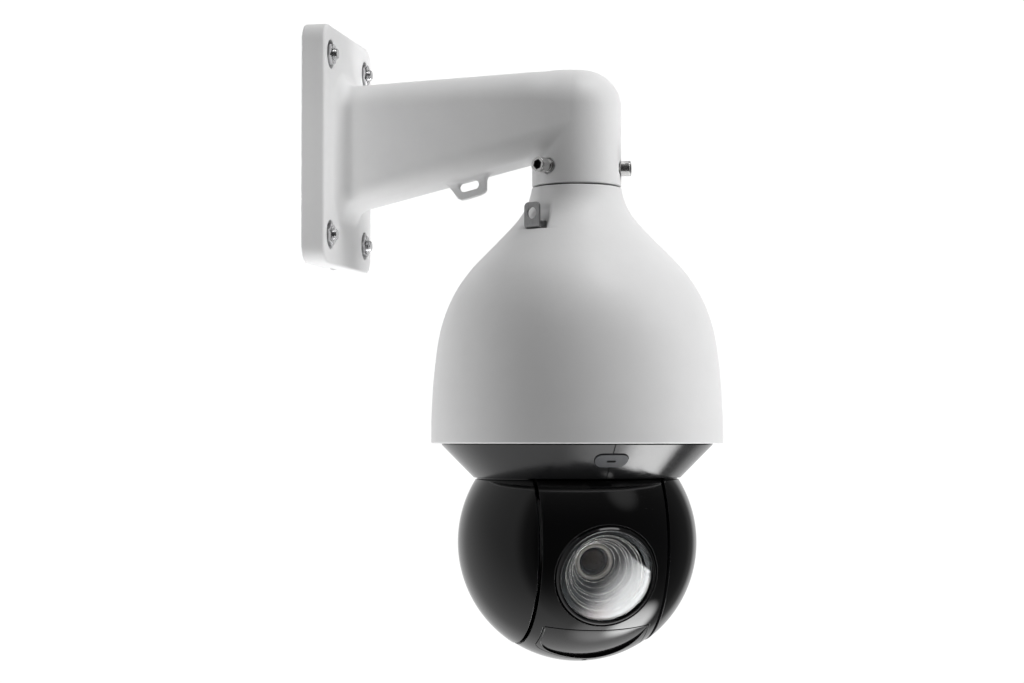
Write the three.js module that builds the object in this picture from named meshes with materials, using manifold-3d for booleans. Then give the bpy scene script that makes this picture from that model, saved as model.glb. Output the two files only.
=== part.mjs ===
// Wall-mounted pan/tilt/zoom dome camera: wall bracket, bell housing, panning yoke and tilting
// camera ball, with the drives, boards and optics that they hold.
// Millimetres, +Z up. Origin: centre of the wall plate's back face. +X runs out of the wall.
import * as THREE from 'three';
import { mergeVertices } from 'three/addons/utils/BufferGeometryUtils.js';
import Module from 'manifold-3d';

const wasm = await Module();
wasm.setup();

// ---------------------------------------------------------------- driving dimensions
const AXIS_X = 166;                 // pan axis, distance from the wall
const PLATE = { t: 15, w: 118, h: 152, r: 12, bevel: 1.4 };
const HOLE = { y: 43, z: 57.5, r: 4.5, cbR: 9, floor: 7 };
const ARM = { x0: 10, x1: 166, halfW0: 29, halfW1: 28.6, top0: 41.0, top1: 48.7, bot0: -38.6, botSlope: 30.1 / 122.4, wall: 4.3 };
const COLLAR = { r: 28.6, bore: 24.4, bottom: -25.9, edge: 24, top: 48.7 };
const COLLAR_SCREWS = { angles: [90, -30, -150], z: -14.6, end: [35.8, 39.2, 35.8] };
const Z_RIM = -190;                 // lower rim of the bell
const BELL_WALL = 3;
const BELL = [[163.1, 28.7], [157.5, 29.7], [149.8, 32.8], [142.1, 37.9], [134.5, 44.8], [119.1, 59.9],
  [111.5, 67.2], [103.8, 73.1], [92.3, 79.9], [77, 85.8], [57.8, 89.7], [34.8, 92.0], [11.8, 93.0], [0, 93.0]];
const BALL_Z = -252.4;              // centre of the camera ball
const R_COVER = 76;                 // side covers, outer radius
const R_MODULE = 75.5;              // tilting module, outer radius
const COVER_IN = 40.8;              // side covers start here, from the middle plane
const MODULE_HALF = 39.8;           // half width of the tilting module
const COVER_TOP = 40;               // side covers are cut flat this far above the ball's centre
const SKIRT = { topR: 86.3, topZ: -190.6, lipR: 64.8, lipZ: -211.6 };
const PAN_REST = 25;                // degrees, stored heading of the camera
const TILT_REST = 15.5;             // degrees below level, stored tilt of the lens
const LENS = { holeR: 32.5, bezelR: 32.2, rimR: 28.2, front: 70.7, glassR: 26.3 };

const rad = d => d * Math.PI / 180;
const FACETS = 0.5;                 // share of the full facet count on turned surfaces

// ---------------------------------------------------------------- materials
const MAT = {
  white: { color: 0xdcdedf, roughness: 0.45, metalness: 0.0 },
  black: { color: 0x0b0b0c, roughness: 0.16, metalness: 0.0 },
  dark: { color: 0x1a1b1c, roughness: 0.4, metalness: 0.0 },
  grey: { color: 0x5b5d5f, roughness: 0.55, metalness: 0.0 },
  steel: { color: 0xb9bbbd, roughness: 0.3, metalness: 1.0 },
  zinc: { color: 0xa8abae, roughness: 0.4, metalness: 1.0 },
  alu: { color: 0xc4c6c8, roughness: 0.4, metalness: 1.0 },
  rubber: { color: 0x111111, roughness: 0.8, metalness: 0.0 },
  glass: { color: 0x9aa4a8, roughness: 0.03, metalness: 0.0 },
  window: { color: 0x050506, roughness: 0.05, metalness: 0.0 },
  pcb: { color: 0x1f5b33, roughness: 0.5, metalness: 0.0 },
  brass: { color: 0xb8934a, roughness: 0.35, metalness: 1.0 },
};

// ---------------------------------------------------------------- solids
function solid(geometry, matrix) {
  let g = geometry.clone();
  if (matrix) g.applyMatrix4(matrix);
  for (const k of Object.keys(g.attributes)) if (k !== 'position') g.deleteAttribute(k);
  g = mergeVertices(g, 1e-4);
  return new wasm.Manifold(new wasm.Mesh({
    numProp: 3,
    vertProperties: new Float32Array(g.attributes.position.array),
    triVerts: new Uint32Array(g.index.array),
  }));
}
function geometryOf(man) {
  const m = man.getMesh();
  const n = m.numProp, count = m.vertProperties.length / n;
  const pos = new Float32Array(count * 3);
  for (let i = 0; i < count; i++) for (let k = 0; k < 3; k++) pos[i * 3 + k] = m.vertProperties[i * n + k];
  const g = new THREE.BufferGeometry();
  g.setAttribute('position', new THREE.BufferAttribute(pos, 3));
  g.setIndex(new THREE.BufferAttribute(new Uint32Array(m.triVerts), 1));
  g.computeVertexNormals();
  return g;
}
const union = (...s) => s.reduce((a, b) => a.add(b));
const cut = (a, ...s) => s.reduce((x, b) => x.subtract(b), a);
const shift = (x, y, z) => new THREE.Matrix4().makeTranslation(x, y, z);

function boxGeo(x0, x1, y0, y1, z0, z1) {
  const g = new THREE.BoxGeometry(x1 - x0, y1 - y0, z1 - z0);
  g.translate((x0 + x1) / 2, (y0 + y1) / 2, (z0 + z1) / 2);
  return g;
}
const block = (...a) => solid(boxGeo(...a));

// profile of [radius, z] turned about Z; closes on itself when it doesn't start and end on the axis
function latheGeo(profile, segs = 48) {
  let pts = profile.map(([r, z]) => new THREE.Vector2(r, z));
  let area = 0;
  for (let i = 0; i < pts.length; i++) {
    const a = pts[i], b = pts[(i + 1) % pts.length];
    area += a.x * b.y - b.x * a.y;
  }
  if (area < 0) pts.reverse();
  if (!(pts[0].x === 0 && pts[pts.length - 1].x === 0)) pts.push(pts[0].clone());
  const g = new THREE.LatheGeometry(pts, Math.max(10, Math.round(segs * FACETS)));
  g.rotateX(Math.PI / 2);
  return g;
}
const lathe = (profile, segs, matrix) => solid(latheGeo(profile, segs), matrix);
const rod = (r, z0, z1, segs = 24, matrix) => lathe([[0, z0], [r, z0], [r, z1], [0, z1]], segs, matrix);
const tube = (r0, r1, z0, z1, segs = 32, matrix) => lathe([[r0, z0], [r1, z0], [r1, z1], [r0, z1]], segs, matrix);
// turned about X instead of Z
const aboutX = new THREE.Matrix4().makeBasis(new THREE.Vector3(0, 1, 0), new THREE.Vector3(0, 0, 1), new THREE.Vector3(1, 0, 0));
// frames: local x = tangent, local y = up, local z = outward from the pan axis
function radial(psi, z = 0) {
  const c = Math.cos(rad(psi)), s = Math.sin(rad(psi));
  return new THREE.Matrix4().makeBasis(new THREE.Vector3(c, s, 0), new THREE.Vector3(0, 0, 1), new THREE.Vector3(s, -c, 0))
    .premultiply(shift(AXIS_X, 0, z));
}
// lens frame inside the tilting module: local z = forward along the lens, local x = sideways
const alongLens = new THREE.Matrix4().makeBasis(new THREE.Vector3(1, 0, 0), new THREE.Vector3(0, 0, 1), new THREE.Vector3(0, -1, 0));

function roundRect(w, h, r, n = 5) {
  const pts = [];
  for (const [cx, cy, a0] of [[w / 2 - r, h / 2 - r, 0], [-w / 2 + r, h / 2 - r, 90], [-w / 2 + r, -h / 2 + r, 180], [w / 2 - r, -h / 2 + r, 270]])
    for (let i = 0; i <= n; i++) {
      const a = rad(a0 + 90 * i / n);
      pts.push([cx + r * Math.cos(a), cy + r * Math.sin(a)]);
    }
  return pts;
}
function shapeOf(pts) {
  return new THREE.Shape(pts.map(([x, y]) => new THREE.Vector2(x, y)));
}
function slab(pts, z0, z1, matrix, bevel = 0) {
  const g = new THREE.ExtrudeGeometry(shapeOf(pts), {
    depth: z1 - z0 - 2 * bevel, steps: 1, curveSegments: 6,
    bevelEnabled: bevel > 0, bevelThickness: bevel, bevelSize: bevel, bevelOffset: -bevel, bevelSegments: 1,
  });
  g.translate(0, 0, z0 + bevel);
  return solid(g, matrix);
}
// skin over rounded sections across X, each with its own half width, bottom, top and corner radii
function loft(sections, n = 5) {
  const rows = sections.map(({ x, w, b, t, rt, rb }) => {
    const pts = [];
    for (const [cy, cz, a0, r] of [[w - rt, t - rt, 0, rt], [-w + rt, t - rt, 90, rt], [-w + rb, b + rb, 180, rb], [w - rb, b + rb, 270, rb]])
      for (let i = 0; i <= n; i++) {
        const a = rad(a0 + 90 * i / n);
        pts.push([x, cy + r * Math.cos(a), cz + r * Math.sin(a)]);
      }
    return pts;
  });
  const m = rows[0].length, pos = [], idx = [];
  rows.forEach(r => r.forEach(p => pos.push(...p)));
  for (let i = 0; i + 1 < rows.length; i++)
    for (let j = 0; j < m; j++) {
      const a = i * m + j, b = i * m + (j + 1) % m, c = a + m, d = b + m;
      idx.push(a, b, d, a, d, c);
    }
  const last = (rows.length - 1) * m;
  for (let j = 1; j + 1 < m; j++) {
    idx.push(0, j + 1, j);
    idx.push(last, last + j, last + j + 1);
  }
  const g = new THREE.BufferGeometry();
  g.setAttribute('position', new THREE.BufferAttribute(new Float32Array(pos), 3));
  for (let i = 0; i < idx.length; i += 3) [idx[i + 1], idx[i + 2]] = [idx[i + 2], idx[i + 1]];
  g.setIndex(idx);
  let vol = 0;
  for (let i = 0; i < idx.length; i += 3) {
    const p = k => new THREE.Vector3(...pos.slice(idx[i + k] * 3, idx[i + k] * 3 + 3));
    vol += p(0).dot(p(1).cross(p(2)));
  }
  if (vol < 0) {
    for (let i = 0; i < idx.length; i += 3) [idx[i + 1], idx[i + 2]] = [idx[i + 2], idx[i + 1]];
    g.setIndex(idx);
  }
  return solid(g);
}
const arc = (cx, cz, r, a0, a1, n) => Array.from({ length: n + 1 }, (_, i) => {
  const a = rad(a0 + (a1 - a0) * i / n);
  return [cx + r * Math.cos(a), cz + r * Math.sin(a)];
});
// outline of a belt round two wheels whose centres lie along local y
function beltOutline(rBig, rSmall, dist, n = 20) {
  const a = Math.asin((rBig - rSmall) / dist) * 180 / Math.PI, pts = [];
  for (let i = 0; i <= n; i++) {
    const t = rad(180 - a + (180 + 2 * a) * i / n);
    pts.push([rBig * Math.cos(t), rBig * Math.sin(t)]);
  }
  for (let i = 0; i <= n / 2; i++) {
    const t = rad(a + (180 - 2 * a) * i / (n / 2));
    pts.push([rSmall * Math.cos(t), dist + rSmall * Math.sin(t)]);
  }
  return pts;
}

// ---------------------------------------------------------------- scene graph
const root = new THREE.Group();
const axisGroup = new THREE.Group();          // stands on the pan axis
axisGroup.position.set(AXIS_X, 0, 0);
root.add(axisGroup);
const panGroup = new THREE.Group();           // turned to the stored heading: -y forward, +x to the side
panGroup.rotation.z = rad(PAN_REST);
panGroup.position.z = BALL_Z;
axisGroup.add(panGroup);
const tiltGroup = new THREE.Group();          // turned to the stored tilt: -y along the lens
tiltGroup.rotation.x = rad(TILT_REST);
panGroup.add(tiltGroup);

function add(group, name, man, mat) {
  const mesh = new THREE.Mesh(geometryOf(man), new THREE.MeshStandardMaterial(MAT[mat]));
  mesh.name = name;
  group.add(mesh);
  return mesh;
}

// ---------------------------------------------------------------- wall bracket: one hollow casting
const plateAxes = new THREE.Matrix4().makeBasis(new THREE.Vector3(0, 1, 0), new THREE.Vector3(0, 0, 1), new THREE.Vector3(1, 0, 0));
const armTop = x => ARM.top0 + (ARM.top1 - ARM.top0) * Math.min(1, Math.max(0, (x - 15) / 150));
const armBot = x => ARM.bot0 + ARM.botSlope * (x - 15);
const armHalf = x => ARM.halfW0 + (ARM.halfW1 - ARM.halfW0) * (x - 10) / 156;
const flare = [[10, 10], [15, 9.2], [16.2, 5.4], [18.6, 2.6], [22, 0.8], [26, 0]];
const armSections = [
  ...flare.map(([x, f]) => ({ x, w: armHalf(x) + f, b: armBot(Math.max(x, 15)) - f, t: armTop(x) + f, rt: 17 + f, rb: 15 + f })),
  ...[60, 100, 137, 166].map(x => ({ x, w: armHalf(x), b: armBot(x), t: armTop(x), rt: 18 + (x - 60) / 53, rb: 15 })),
];
const armHollow = [-2, 15, 60, 100, 137, 163].map(x => ({
  x, w: armHalf(x) - ARM.wall, b: armBot(Math.max(x, 15)) + ARM.wall + 0.2, t: armTop(x) - ARM.wall, rt: 14, rb: 11,
}));
const collarBody = lathe([[0, COLLAR.bottom], [COLLAR.r - 0.6, COLLAR.bottom], [COLLAR.r, COLLAR.bottom + 0.6],
  ...arc(COLLAR.r - COLLAR.edge, COLLAR.top - COLLAR.edge, COLLAR.edge, 0, 90, 6), [0, COLLAR.top]], 56, shift(AXIS_X, 0, 0));
const collarBore = lathe([[0, COLLAR.bottom - 2], [COLLAR.bore, COLLAR.bottom - 2],
  ...arc(COLLAR.bore - 19.6, COLLAR.top - 4.3 - 19.6, 19.6, 0, 90, 4), [0, COLLAR.top - 4.3]], 40, shift(AXIS_X, 0, 0));
const lugTilt = Math.atan(ARM.botSlope);
const lugOutline = [[82, -14], [83.1, -25.2], [88.4, -32.2], [90.6, -33.2], [93.6, -32.9], [103.6, -30.1], [106.2, -28.7], [107.6, -26.8], [107.6, -8]];
const lugAxes = new THREE.Matrix4().makeBasis(new THREE.Vector3(1, 0, 0), new THREE.Vector3(0, 0, 1), new THREE.Vector3(0, -1, 0));
const slotPts = [];
for (let i = 0; i <= 8; i++) { const a = rad(-90 + 180 * i / 8); slotPts.push([4 + 3 * Math.cos(a), 3 * Math.sin(a)]); }
for (let i = 0; i <= 8; i++) { const a = rad(90 + 180 * i / 8); slotPts.push([-4 + 3 * Math.cos(a), 3 * Math.sin(a)]); }
const LUG_SLOT = { x: 95.9, z: -23.7 };
const lugSlot = slab(slotPts.map(([x, y]) => [
  LUG_SLOT.x + x * Math.cos(lugTilt) - y * Math.sin(lugTilt), LUG_SLOT.z + x * Math.sin(lugTilt) + y * Math.cos(lugTilt)]), -6, 6, lugAxes);
let bracket = union(
  slab(roundRect(PLATE.w, PLATE.h, PLATE.r, 4), 0, PLATE.t, plateAxes, PLATE.bevel),
  loft(armSections), collarBody, slab(lugOutline, -2.5, 2.5, lugAxes));
bracket = cut(bracket, loft(armHollow, 4), collarBore, lugSlot,
  block(-2, 5, -9, 9, -80, -24));                       // cable channel to the bottom edge
for (const sy of [-1, 1]) for (const sz of [-1, 1]) {
  const at = shift(0, sy * HOLE.y, sz * HOLE.z).multiply(aboutX);
  bracket = cut(bracket, rod(HOLE.r, -2, PLATE.t + 2, 24, at), rod(HOLE.cbR, HOLE.floor, PLATE.t + 12, 28, at));
}
for (const psi of COLLAR_SCREWS.angles)
  bracket = cut(bracket, lathe([[0, 18], [3.3, 18], [3.3, 26.6], [5.75, 26.6], [5.75, 40], [0, 40]], 24, radial(psi, COLLAR_SCREWS.z)));
add(root, 'wall_bracket', bracket, 'white');

// anchor studs, nuts and washers in the plate's four holes
let k = 0;
for (const sz of [1, -1]) for (const sy of [-1, 1]) {
  k++;
  const at = shift(0, sy * HOLE.y, sz * HOLE.z).multiply(aboutX);
  add(root, `wall_stud_${k}`, lathe([[0, 0.5], [4, 0.5], [4, 19.7], [3.2, 20.5], [0, 20.5]], 16, at), 'zinc');
  const nut = slab(Array.from({ length: 6 }, (_, i) => [7.5 * Math.cos(rad(60 * i + 12 * k)), 7.5 * Math.sin(rad(60 * i + 12 * k))]), 10.8, 17, at);
  add(root, `wall_nut_${k}`, cut(nut, rod(4.3, 0, 30, 16, at)), 'zinc');
  add(root, `wall_washer_${k}`, tube(4.3, 8, 7.3, 8.9, 20, at), 'zinc');
}

// collar clamping screws: socket cap head, shank into the neck adapter's groove
COLLAR_SCREWS.angles.forEach((psi, i) => {
  const e = COLLAR_SCREWS.end[i];
  const at = radial(psi, COLLAR_SCREWS.z);
  const body = lathe([[0, 23.6], [2.6, 23.6], [3, 24.2], [3, 28.2], [4.7, 28.2], [4.7, e - 6.2], [4.9, e - 6], [4.9, e - 0.5], [4.4, e], [0, e]], 24, at);
  const socket = slab(Array.from({ length: 6 }, (_, j) => [2.9 * Math.cos(rad(60 * j)), 2.9 * Math.sin(rad(60 * j))]), e - 3, e + 2, at);
  add(root, `collar_screw_${i + 1}`, cut(body, socket), 'steel');
});

// ---------------------------------------------------------------- neck
add(axisGroup, 'neck_seal', tube(24.7, 27.6, -26.7, -26.1, 36), 'rubber');
add(axisGroup, 'neck_adapter', union(
  lathe([[20, -49], [23.9, -49], [23.9, -18.4], [23, -17.9], [23, -11.3], [23.9, -10.8], [23.9, -2], [20, -2]], 40),
  tube(10, 20.4, -46, -42, 40)), 'alu');
const glandNut = slab(Array.from({ length: 6 }, (_, i) => [13 * Math.cos(rad(60 * i)), 13 * Math.sin(rad(60 * i))]), -38.4, -30);
add(axisGroup, 'cable_gland', cut(union(
  lathe([[0, -52], [9.6, -52], [9.6, -41.7], [15, -41.7], [15, -38], [0, -38]], 32),
  glandNut,
  lathe([[0, -30.4], [11, -30.4], [10.4, -24], [7, -21], [0, -21]], 24)), rod(4.2, -60, -10, 20)), 'dark');

// ---------------------------------------------------------------- bell housing
const bellOuter = BELL.map(([h, r]) => [r, Z_RIM + h]);
const bellInner = [[90, Z_RIM], [89.8, -170.5], [87.1, -137.7], [83, -137.7], [83, -133.7], [86.2, -133.7],
  [82.8, -113], [76.9, -97.7], [64.2, -78.5], [41.8, -56.6], [24.3, -50], [24.3, -26.9]];
const outerSolid = lathe([[0, Z_RIM], ...bellOuter.slice().reverse(), [0, bellOuter[0][1]]], 80);
const bellHollow = lathe([[0, Z_RIM - 2], [90, Z_RIM - 2], ...bellInner, [24.3, -20], [0, -20]], 80);
const tabAxes = radial(-30).premultiply(shift(-AXIS_X, 0, 0));
const boss = solid(boxGeo(-9, 9, -66, -44, 24.4, 46), tabAxes).intersect(outerSolid);
let bell = union(cut(outerSolid, bellHollow), boss);
bell = cut(bell,
  solid(boxGeo(-8.5, 8.5, -55.8, -18, 30, 70), tabAxes),                        // seat of the safety tab
  solid(latheGeo([[0, -64], [2.3, -64], [2.3, -50], [0, -50]], 16), shift(35.5 * Math.sin(rad(-30)), -35.5 * Math.cos(rad(-30)), 0)));
add(axisGroup, 'bell_housing', bell, 'white');

// safety tab: bent stainless strip with the safety rope's hole, held by one screw
const tabPts = [[-6.25, -55.5], [6.25, -55.5], [6.25, -41.8], ...arc(3.25, -41.8, 3, 30, 90, 2), ...arc(-3.25, -41.8, 3, 90, 150, 2), [-6.25, -41.8]];
const TAB_HOLE_Z = -45.7;
add(axisGroup, 'safety_tab', cut(union(
  slab(tabPts, 43.1, 44.6, tabAxes),
  solid(boxGeo(-6.25, 6.25, -55.5, -54, 30.8, 44), tabAxes)),
  solid(latheGeo([[0, 38], [3.7, 38], [3.7, 50], [0, 50]], 24), tabAxes.clone().multiply(shift(0, TAB_HOLE_Z, 0))),
  rod(2.3, -60, -50, 16, shift(35.5 * Math.sin(rad(-30)), -35.5 * Math.cos(rad(-30)), 0))), 'steel');
add(axisGroup, 'safety_tab_screw', cut(lathe([[0, -62], [2, -62], [2, -53.7], [3.5, -53.7], [3.5, -50.1], [3.1, -49.7], [0, -49.7]], 20,
  shift(35.5 * Math.sin(rad(-30)), -35.5 * Math.cos(rad(-30)), 0)),
  slab(Array.from({ length: 6 }, (_, j) => [1.7 * Math.cos(rad(60 * j)), 1.7 * Math.sin(rad(60 * j))]), -51.7, -45,
    shift(35.5 * Math.sin(rad(-30)), -35.5 * Math.cos(rad(-30)), 0))), 'steel');

// ---------------------------------------------------------------- chassis, boards, pan drive (fixed side)
const MOTOR = { y: 60 };
let chassis = union(
  tube(12, 84, -141, -138, 44),
  tube(34.2, 38, -152, -140, 44),
  ...[[-40, -34], [40, -34], [0, 30]].map(([x, y]) => rod(3, -138.5, -112.3, 10, shift(x, y, 0))));
chassis = cut(chassis, rod(4, -145, -130, 16, shift(0, MOTOR.y, 0)), rod(7, -145, -130, 16, shift(-52, 10, 0)));
add(axisGroup, 'chassis_plate', chassis, 'alu');
add(axisGroup, 'main_board', union(
  lathe([[0, -112], [60, -112], [60, -110.4], [0, -110.4]], 40),
  block(-30, -12, -18, 6, -110.6, -106), block(8, 22, -10, 4, -110.6, -108.4), block(-8, 12, 22, 34, -110.6, -100),
  block(26, 44, -6, 12, -110.6, -98), block(-44, -36, -10, 14, -110.6, -102), block(-10, 14, -44, -32, -110.6, -101)), 'pcb');
add(axisGroup, 'pan_motor', cut(union(
  block(-17.5, 17.5, MOTOR.y - 17.5, MOTOR.y + 17.5, -137.7, -113.7)), rod(2.9, -140, -124, 16, shift(0, MOTOR.y, 0))), 'dark');
add(axisGroup, 'pan_motor_pulley', union(
  lathe([[0, -164], [9.2, -164], [8, -163.2], [8, -155.8], [9.2, -155], [2.5, -155], [2.5, -125], [0, -125]], 20,
    shift(0, MOTOR.y, 0))), 'alu');
add(axisGroup, 'pan_belt', cut(
  slab(beltOutline(41.7, 9.7, MOTOR.y, 16), -162.5, -156.5),
  slab(beltOutline(40.6, 8.6, MOTOR.y, 16), -170, -150)), 'rubber');
add(axisGroup, 'pan_bearing', tube(22.6, 33.4, -150, -142, 44), 'steel');
add(axisGroup, 'slip_ring', lathe([[0, -166], [11, -166], [11, -137.7], [16, -137.7], [16, -134.7], [9, -134.7], [9, -124], [0, -124]], 28), 'dark');

// ---------------------------------------------------------------- skirt under the bell, in two halves
const SK = SKIRT;
const skirtRing = lathe([[SK.lipR, SK.lipZ], [SK.lipR + 0.9, SK.lipZ], [SK.topR, SK.topZ], [SK.topR, -188.6], [89.4, -188.6], [89.4, -186.4],
  [84, -186.4], [84, -190.6], [SK.lipR, SK.lipZ + 1.6]], 88);
const skirtAxes = new THREE.Matrix4().makeRotationZ(rad(PAN_REST));
add(axisGroup, 'skirt_left_half', skirtRing.intersect(solid(boxGeo(-120, -0.15, -120, 120, -220, -180), skirtAxes)), 'dark');
add(axisGroup, 'skirt_right_half', skirtRing.intersect(solid(boxGeo(0.15, 120, -120, 120, -220, -180), skirtAxes)), 'dark');
// caps over the two seams, lying on the cone
const slope = Math.atan2(SK.topZ - SK.lipZ, SK.topR - SK.lipR - 0.9);
const coneOff = d => [[SK.lipR + 0.9 + d * Math.sin(slope), SK.lipZ - d * Math.cos(slope)], [SK.topR + d * Math.sin(slope), SK.topZ - d * Math.cos(slope)]];
const capShell = lathe([coneOff(0.3)[0], coneOff(1.9)[0], coneOff(1.9)[1], coneOff(0.3)[1]], 120);
const capZ = -200.2, capR = SK.lipR + 0.9 + (capZ - SK.lipZ) / Math.tan(slope);
const capPts = [[-10, 3.4], [-8.6, 4.8], [8.6, 4.8], [10, 3.4], [10, -0.6], ...arc(5.2, -0.9, 4.6, -15, -90, 4), ...arc(-5.2, -0.9, 4.6, -90, -165, 4), [-10, -0.6]];
['front', 'rear'].forEach((name, i) => {
  const psi = PAN_REST + 180 * i, c = Math.cos(rad(psi)), s = Math.sin(rad(psi));
  const out = new THREE.Vector3(s * Math.sin(slope), -c * Math.sin(slope), -Math.cos(slope));
  const up = new THREE.Vector3(s * Math.cos(slope), -c * Math.cos(slope), Math.sin(slope));
  const side = new THREE.Vector3().crossVectors(up, out);
  const at = new THREE.Matrix4().makeBasis(side, up, out).premultiply(shift(s * capR, -c * capR, capZ));
  const slot = solid(boxGeo(-2.5, 2.5, -0.6, 0.6, 0.9, 8), at);
  add(axisGroup, `skirt_cap_${name}`, cut(capShell.intersect(slab(capPts, -6, 6, at)), slot), 'grey');
});

// ---------------------------------------------------------------- panning yoke and what it carries
const P = z => z - BALL_Z;         // world height to the pan group's height
let yoke = union(
  block(-47, 47, -24, 24, P(-172), P(-168)),
  block(-47, -42, -24, 24, -26, P(-168)), block(42, 47, -24, 24, -26, P(-168)),
  rod(24, -47, -42, 32, shift(0, 0, -26).multiply(aboutX)), rod(24, 42, 47, 32, shift(0, 0, -26).multiply(aboutX)),
  rod(22, P(-169), P(-146), 40));
yoke = cut(yoke, rod(13, P(-180), P(-140), 28), rod(10, -60, 60, 28, aboutX), rod(3.5, -60, -30, 16, shift(0, 0, -27).multiply(aboutX)));
add(panGroup, 'pan_yoke', yoke, 'alu');
add(panGroup, 'pan_pulley', lathe([[22.4, P(-163.6)], [41.6, P(-163.6)], [40, P(-162.8)], [40, P(-156.2)], [41.6, P(-155.4)], [22.4, P(-155.4)]], 44), 'dark');
for (const s of [-1, 1]) {
  const name = s < 0 ? 'left' : 'right';
  const nArc = 6, out = [], inn = [];
  const a0 = Math.acos(COVER_IN / R_COVER) * 180 / Math.PI, b0 = Math.acos(COVER_IN / (R_COVER - 2.5)) * 180 / Math.PI;
  for (let i = 0; i <= nArc; i++) {
    out.push([R_COVER * Math.sin(rad(a0 * (1 - i / nArc))), R_COVER * Math.cos(rad(a0 * (1 - i / nArc)))]);
    inn.push([(R_COVER - 2.5) * Math.sin(rad(b0 * i / nArc)), (R_COVER - 2.5) * Math.cos(rad(b0 * i / nArc))]);
  }
  out[nArc][0] = 0; inn[0][0] = 0;
  const flip = new THREE.Matrix4().makeRotationZ(s < 0 ? Math.PI : 0).multiply(aboutX);
  const shell = lathe([...out, ...inn], 72, flip);
  const bulk = lathe([[0, COVER_IN], ...out], 72, flip);
  const x0 = s < 0 ? -80 : 40.8, x1 = s < 0 ? -40.8 : 80;
  const top = bulk.intersect(block(x0, x1, -80, 80, COVER_TOP - 2.2, COVER_TOP));
  const armSlot = s < 0 ? block(-47.4, -39, -24.4, 24.4, 30, 50) : block(39, 47.4, -24.4, 24.4, 30, 50);
  add(panGroup, `${name}_cover`, cut(union(cut(shell, block(-90, 90, -90, 90, COVER_TOP, 90)), top), armSlot), 'black');
  add(panGroup, `tilt_bearing_${name}`, tube(5.3, 9.7, s < 0 ? -46.8 : 42.2, s < 0 ? -42.2 : 46.8, 28, aboutX), 'steel');
}
const TM = { z: -27 };
const tmAt = shift(0, 0, TM.z).multiply(aboutX);
add(panGroup, 'tilt_motor', cut(rod(12.5, -58, -47.3, 28, tmAt), rod(1.9, -60, -49, 12, tmAt)), 'dark');
add(panGroup, 'tilt_motor_pulley', lathe([[0, -64.6], [5.8, -64.6], [5, -64], [5, -59.3], [5.8, -58.7], [1.5, -58.7], [1.5, -50], [0, -50]], 20, tmAt), 'alu');
// outline's local y is turned to point down
const beltAt = new THREE.Matrix4().makeBasis(new THREE.Vector3(0, 1, 0), new THREE.Vector3(0, 0, -1), new THREE.Vector3(-1, 0, 0));
add(panGroup, 'tilt_belt', cut(slab(beltOutline(15.5, 6.5, -TM.z, 12), 59.7, 63.7, beltAt), slab(beltOutline(14.5, 5.5, -TM.z, 12), 50, 70, beltAt)), 'rubber');

// ---------------------------------------------------------------- tilting module
const mArc = 6, mo = [], mi = [];
const ma = Math.asin(MODULE_HALF / R_MODULE) * 180 / Math.PI, mb = Math.asin(37.6 / (R_MODULE - 2.2)) * 180 / Math.PI;
for (let i = 0; i <= mArc; i++) {
  const t = rad(-ma + 2 * ma * i / mArc), u = rad(mb - 2 * mb * i / mArc);
  mo.push([R_MODULE * Math.cos(t), R_MODULE * Math.sin(t)]);
  mi.push([(R_MODULE - 2.2) * Math.cos(u), (R_MODULE - 2.2) * Math.sin(u)]);
}
const moduleSolid = lathe([[0, -MODULE_HALF], ...mo, [0, MODULE_HALF]], 84, aboutX);
const moduleHollow = lathe([[0, 37.6], ...mi, [0, -37.6]], 84, aboutX);
const moduleShell = cut(moduleSolid, moduleHollow, rod(5.5, -60, 60, 24, aboutX));
const screwDir = rad(62.1);
const screwAt = new THREE.Matrix4().makeBasis(new THREE.Vector3(1, 0, 0),
  new THREE.Vector3(0, -Math.sin(screwDir), Math.cos(screwDir)), new THREE.Vector3(0, -Math.cos(screwDir), -Math.sin(screwDir)));
const windowBox = d => block(-33.1 + d, 33.1 - d, -90, -39.6 - d, -90, -35.9 - d);
add(tiltGroup, 'module_front_cover', cut(moduleShell.intersect(block(-90, 90, -90, -0.15, -90, 90)),
  rod(LENS.holeR, 40, 90, 64, alongLens), windowBox(0), rod(1.9, 60, 90, 16, screwAt)), 'black');
add(tiltGroup, 'module_rear_cover', moduleShell.intersect(block(-90, 90, 0.15, 90, -90, 90)), 'black');
add(tiltGroup, 'cover_screw', cut(rod(1.6, 68, 75.2, 14, screwAt),
  slab([[-0.8, -0.8], [0.8, -0.8], [0.8, 0.8], [-0.8, 0.8]], 74, 80, screwAt)), 'dark');
add(tiltGroup, 'tilt_axle_left', lathe([[0, -66], [5, -66], [5, -37.3], [9, -37.3], [9, -35.2], [0, -35.2]], 28, aboutX), 'steel');
add(tiltGroup, 'tilt_axle_right', lathe([[0, 35.2], [9, 35.2], [9, 37.3], [5, 37.3], [5, 50], [0, 50]], 28, aboutX), 'steel');
add(tiltGroup, 'tilt_pulley', lathe([[5.4, -64.4], [15, -64.4], [14, -63.9], [14, -59.5], [15, -59], [5.4, -59]], 28, aboutX), 'dark');
add(tiltGroup, 'module_frame', union(
  block(-34.5, 34.5, -18, 34, -23.5, -21.5), block(-34.5, -32.5, -14, 14, -23.5, 12), block(32.5, 34.5, -14, 14, -23.5, 12)), 'zinc');

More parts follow.
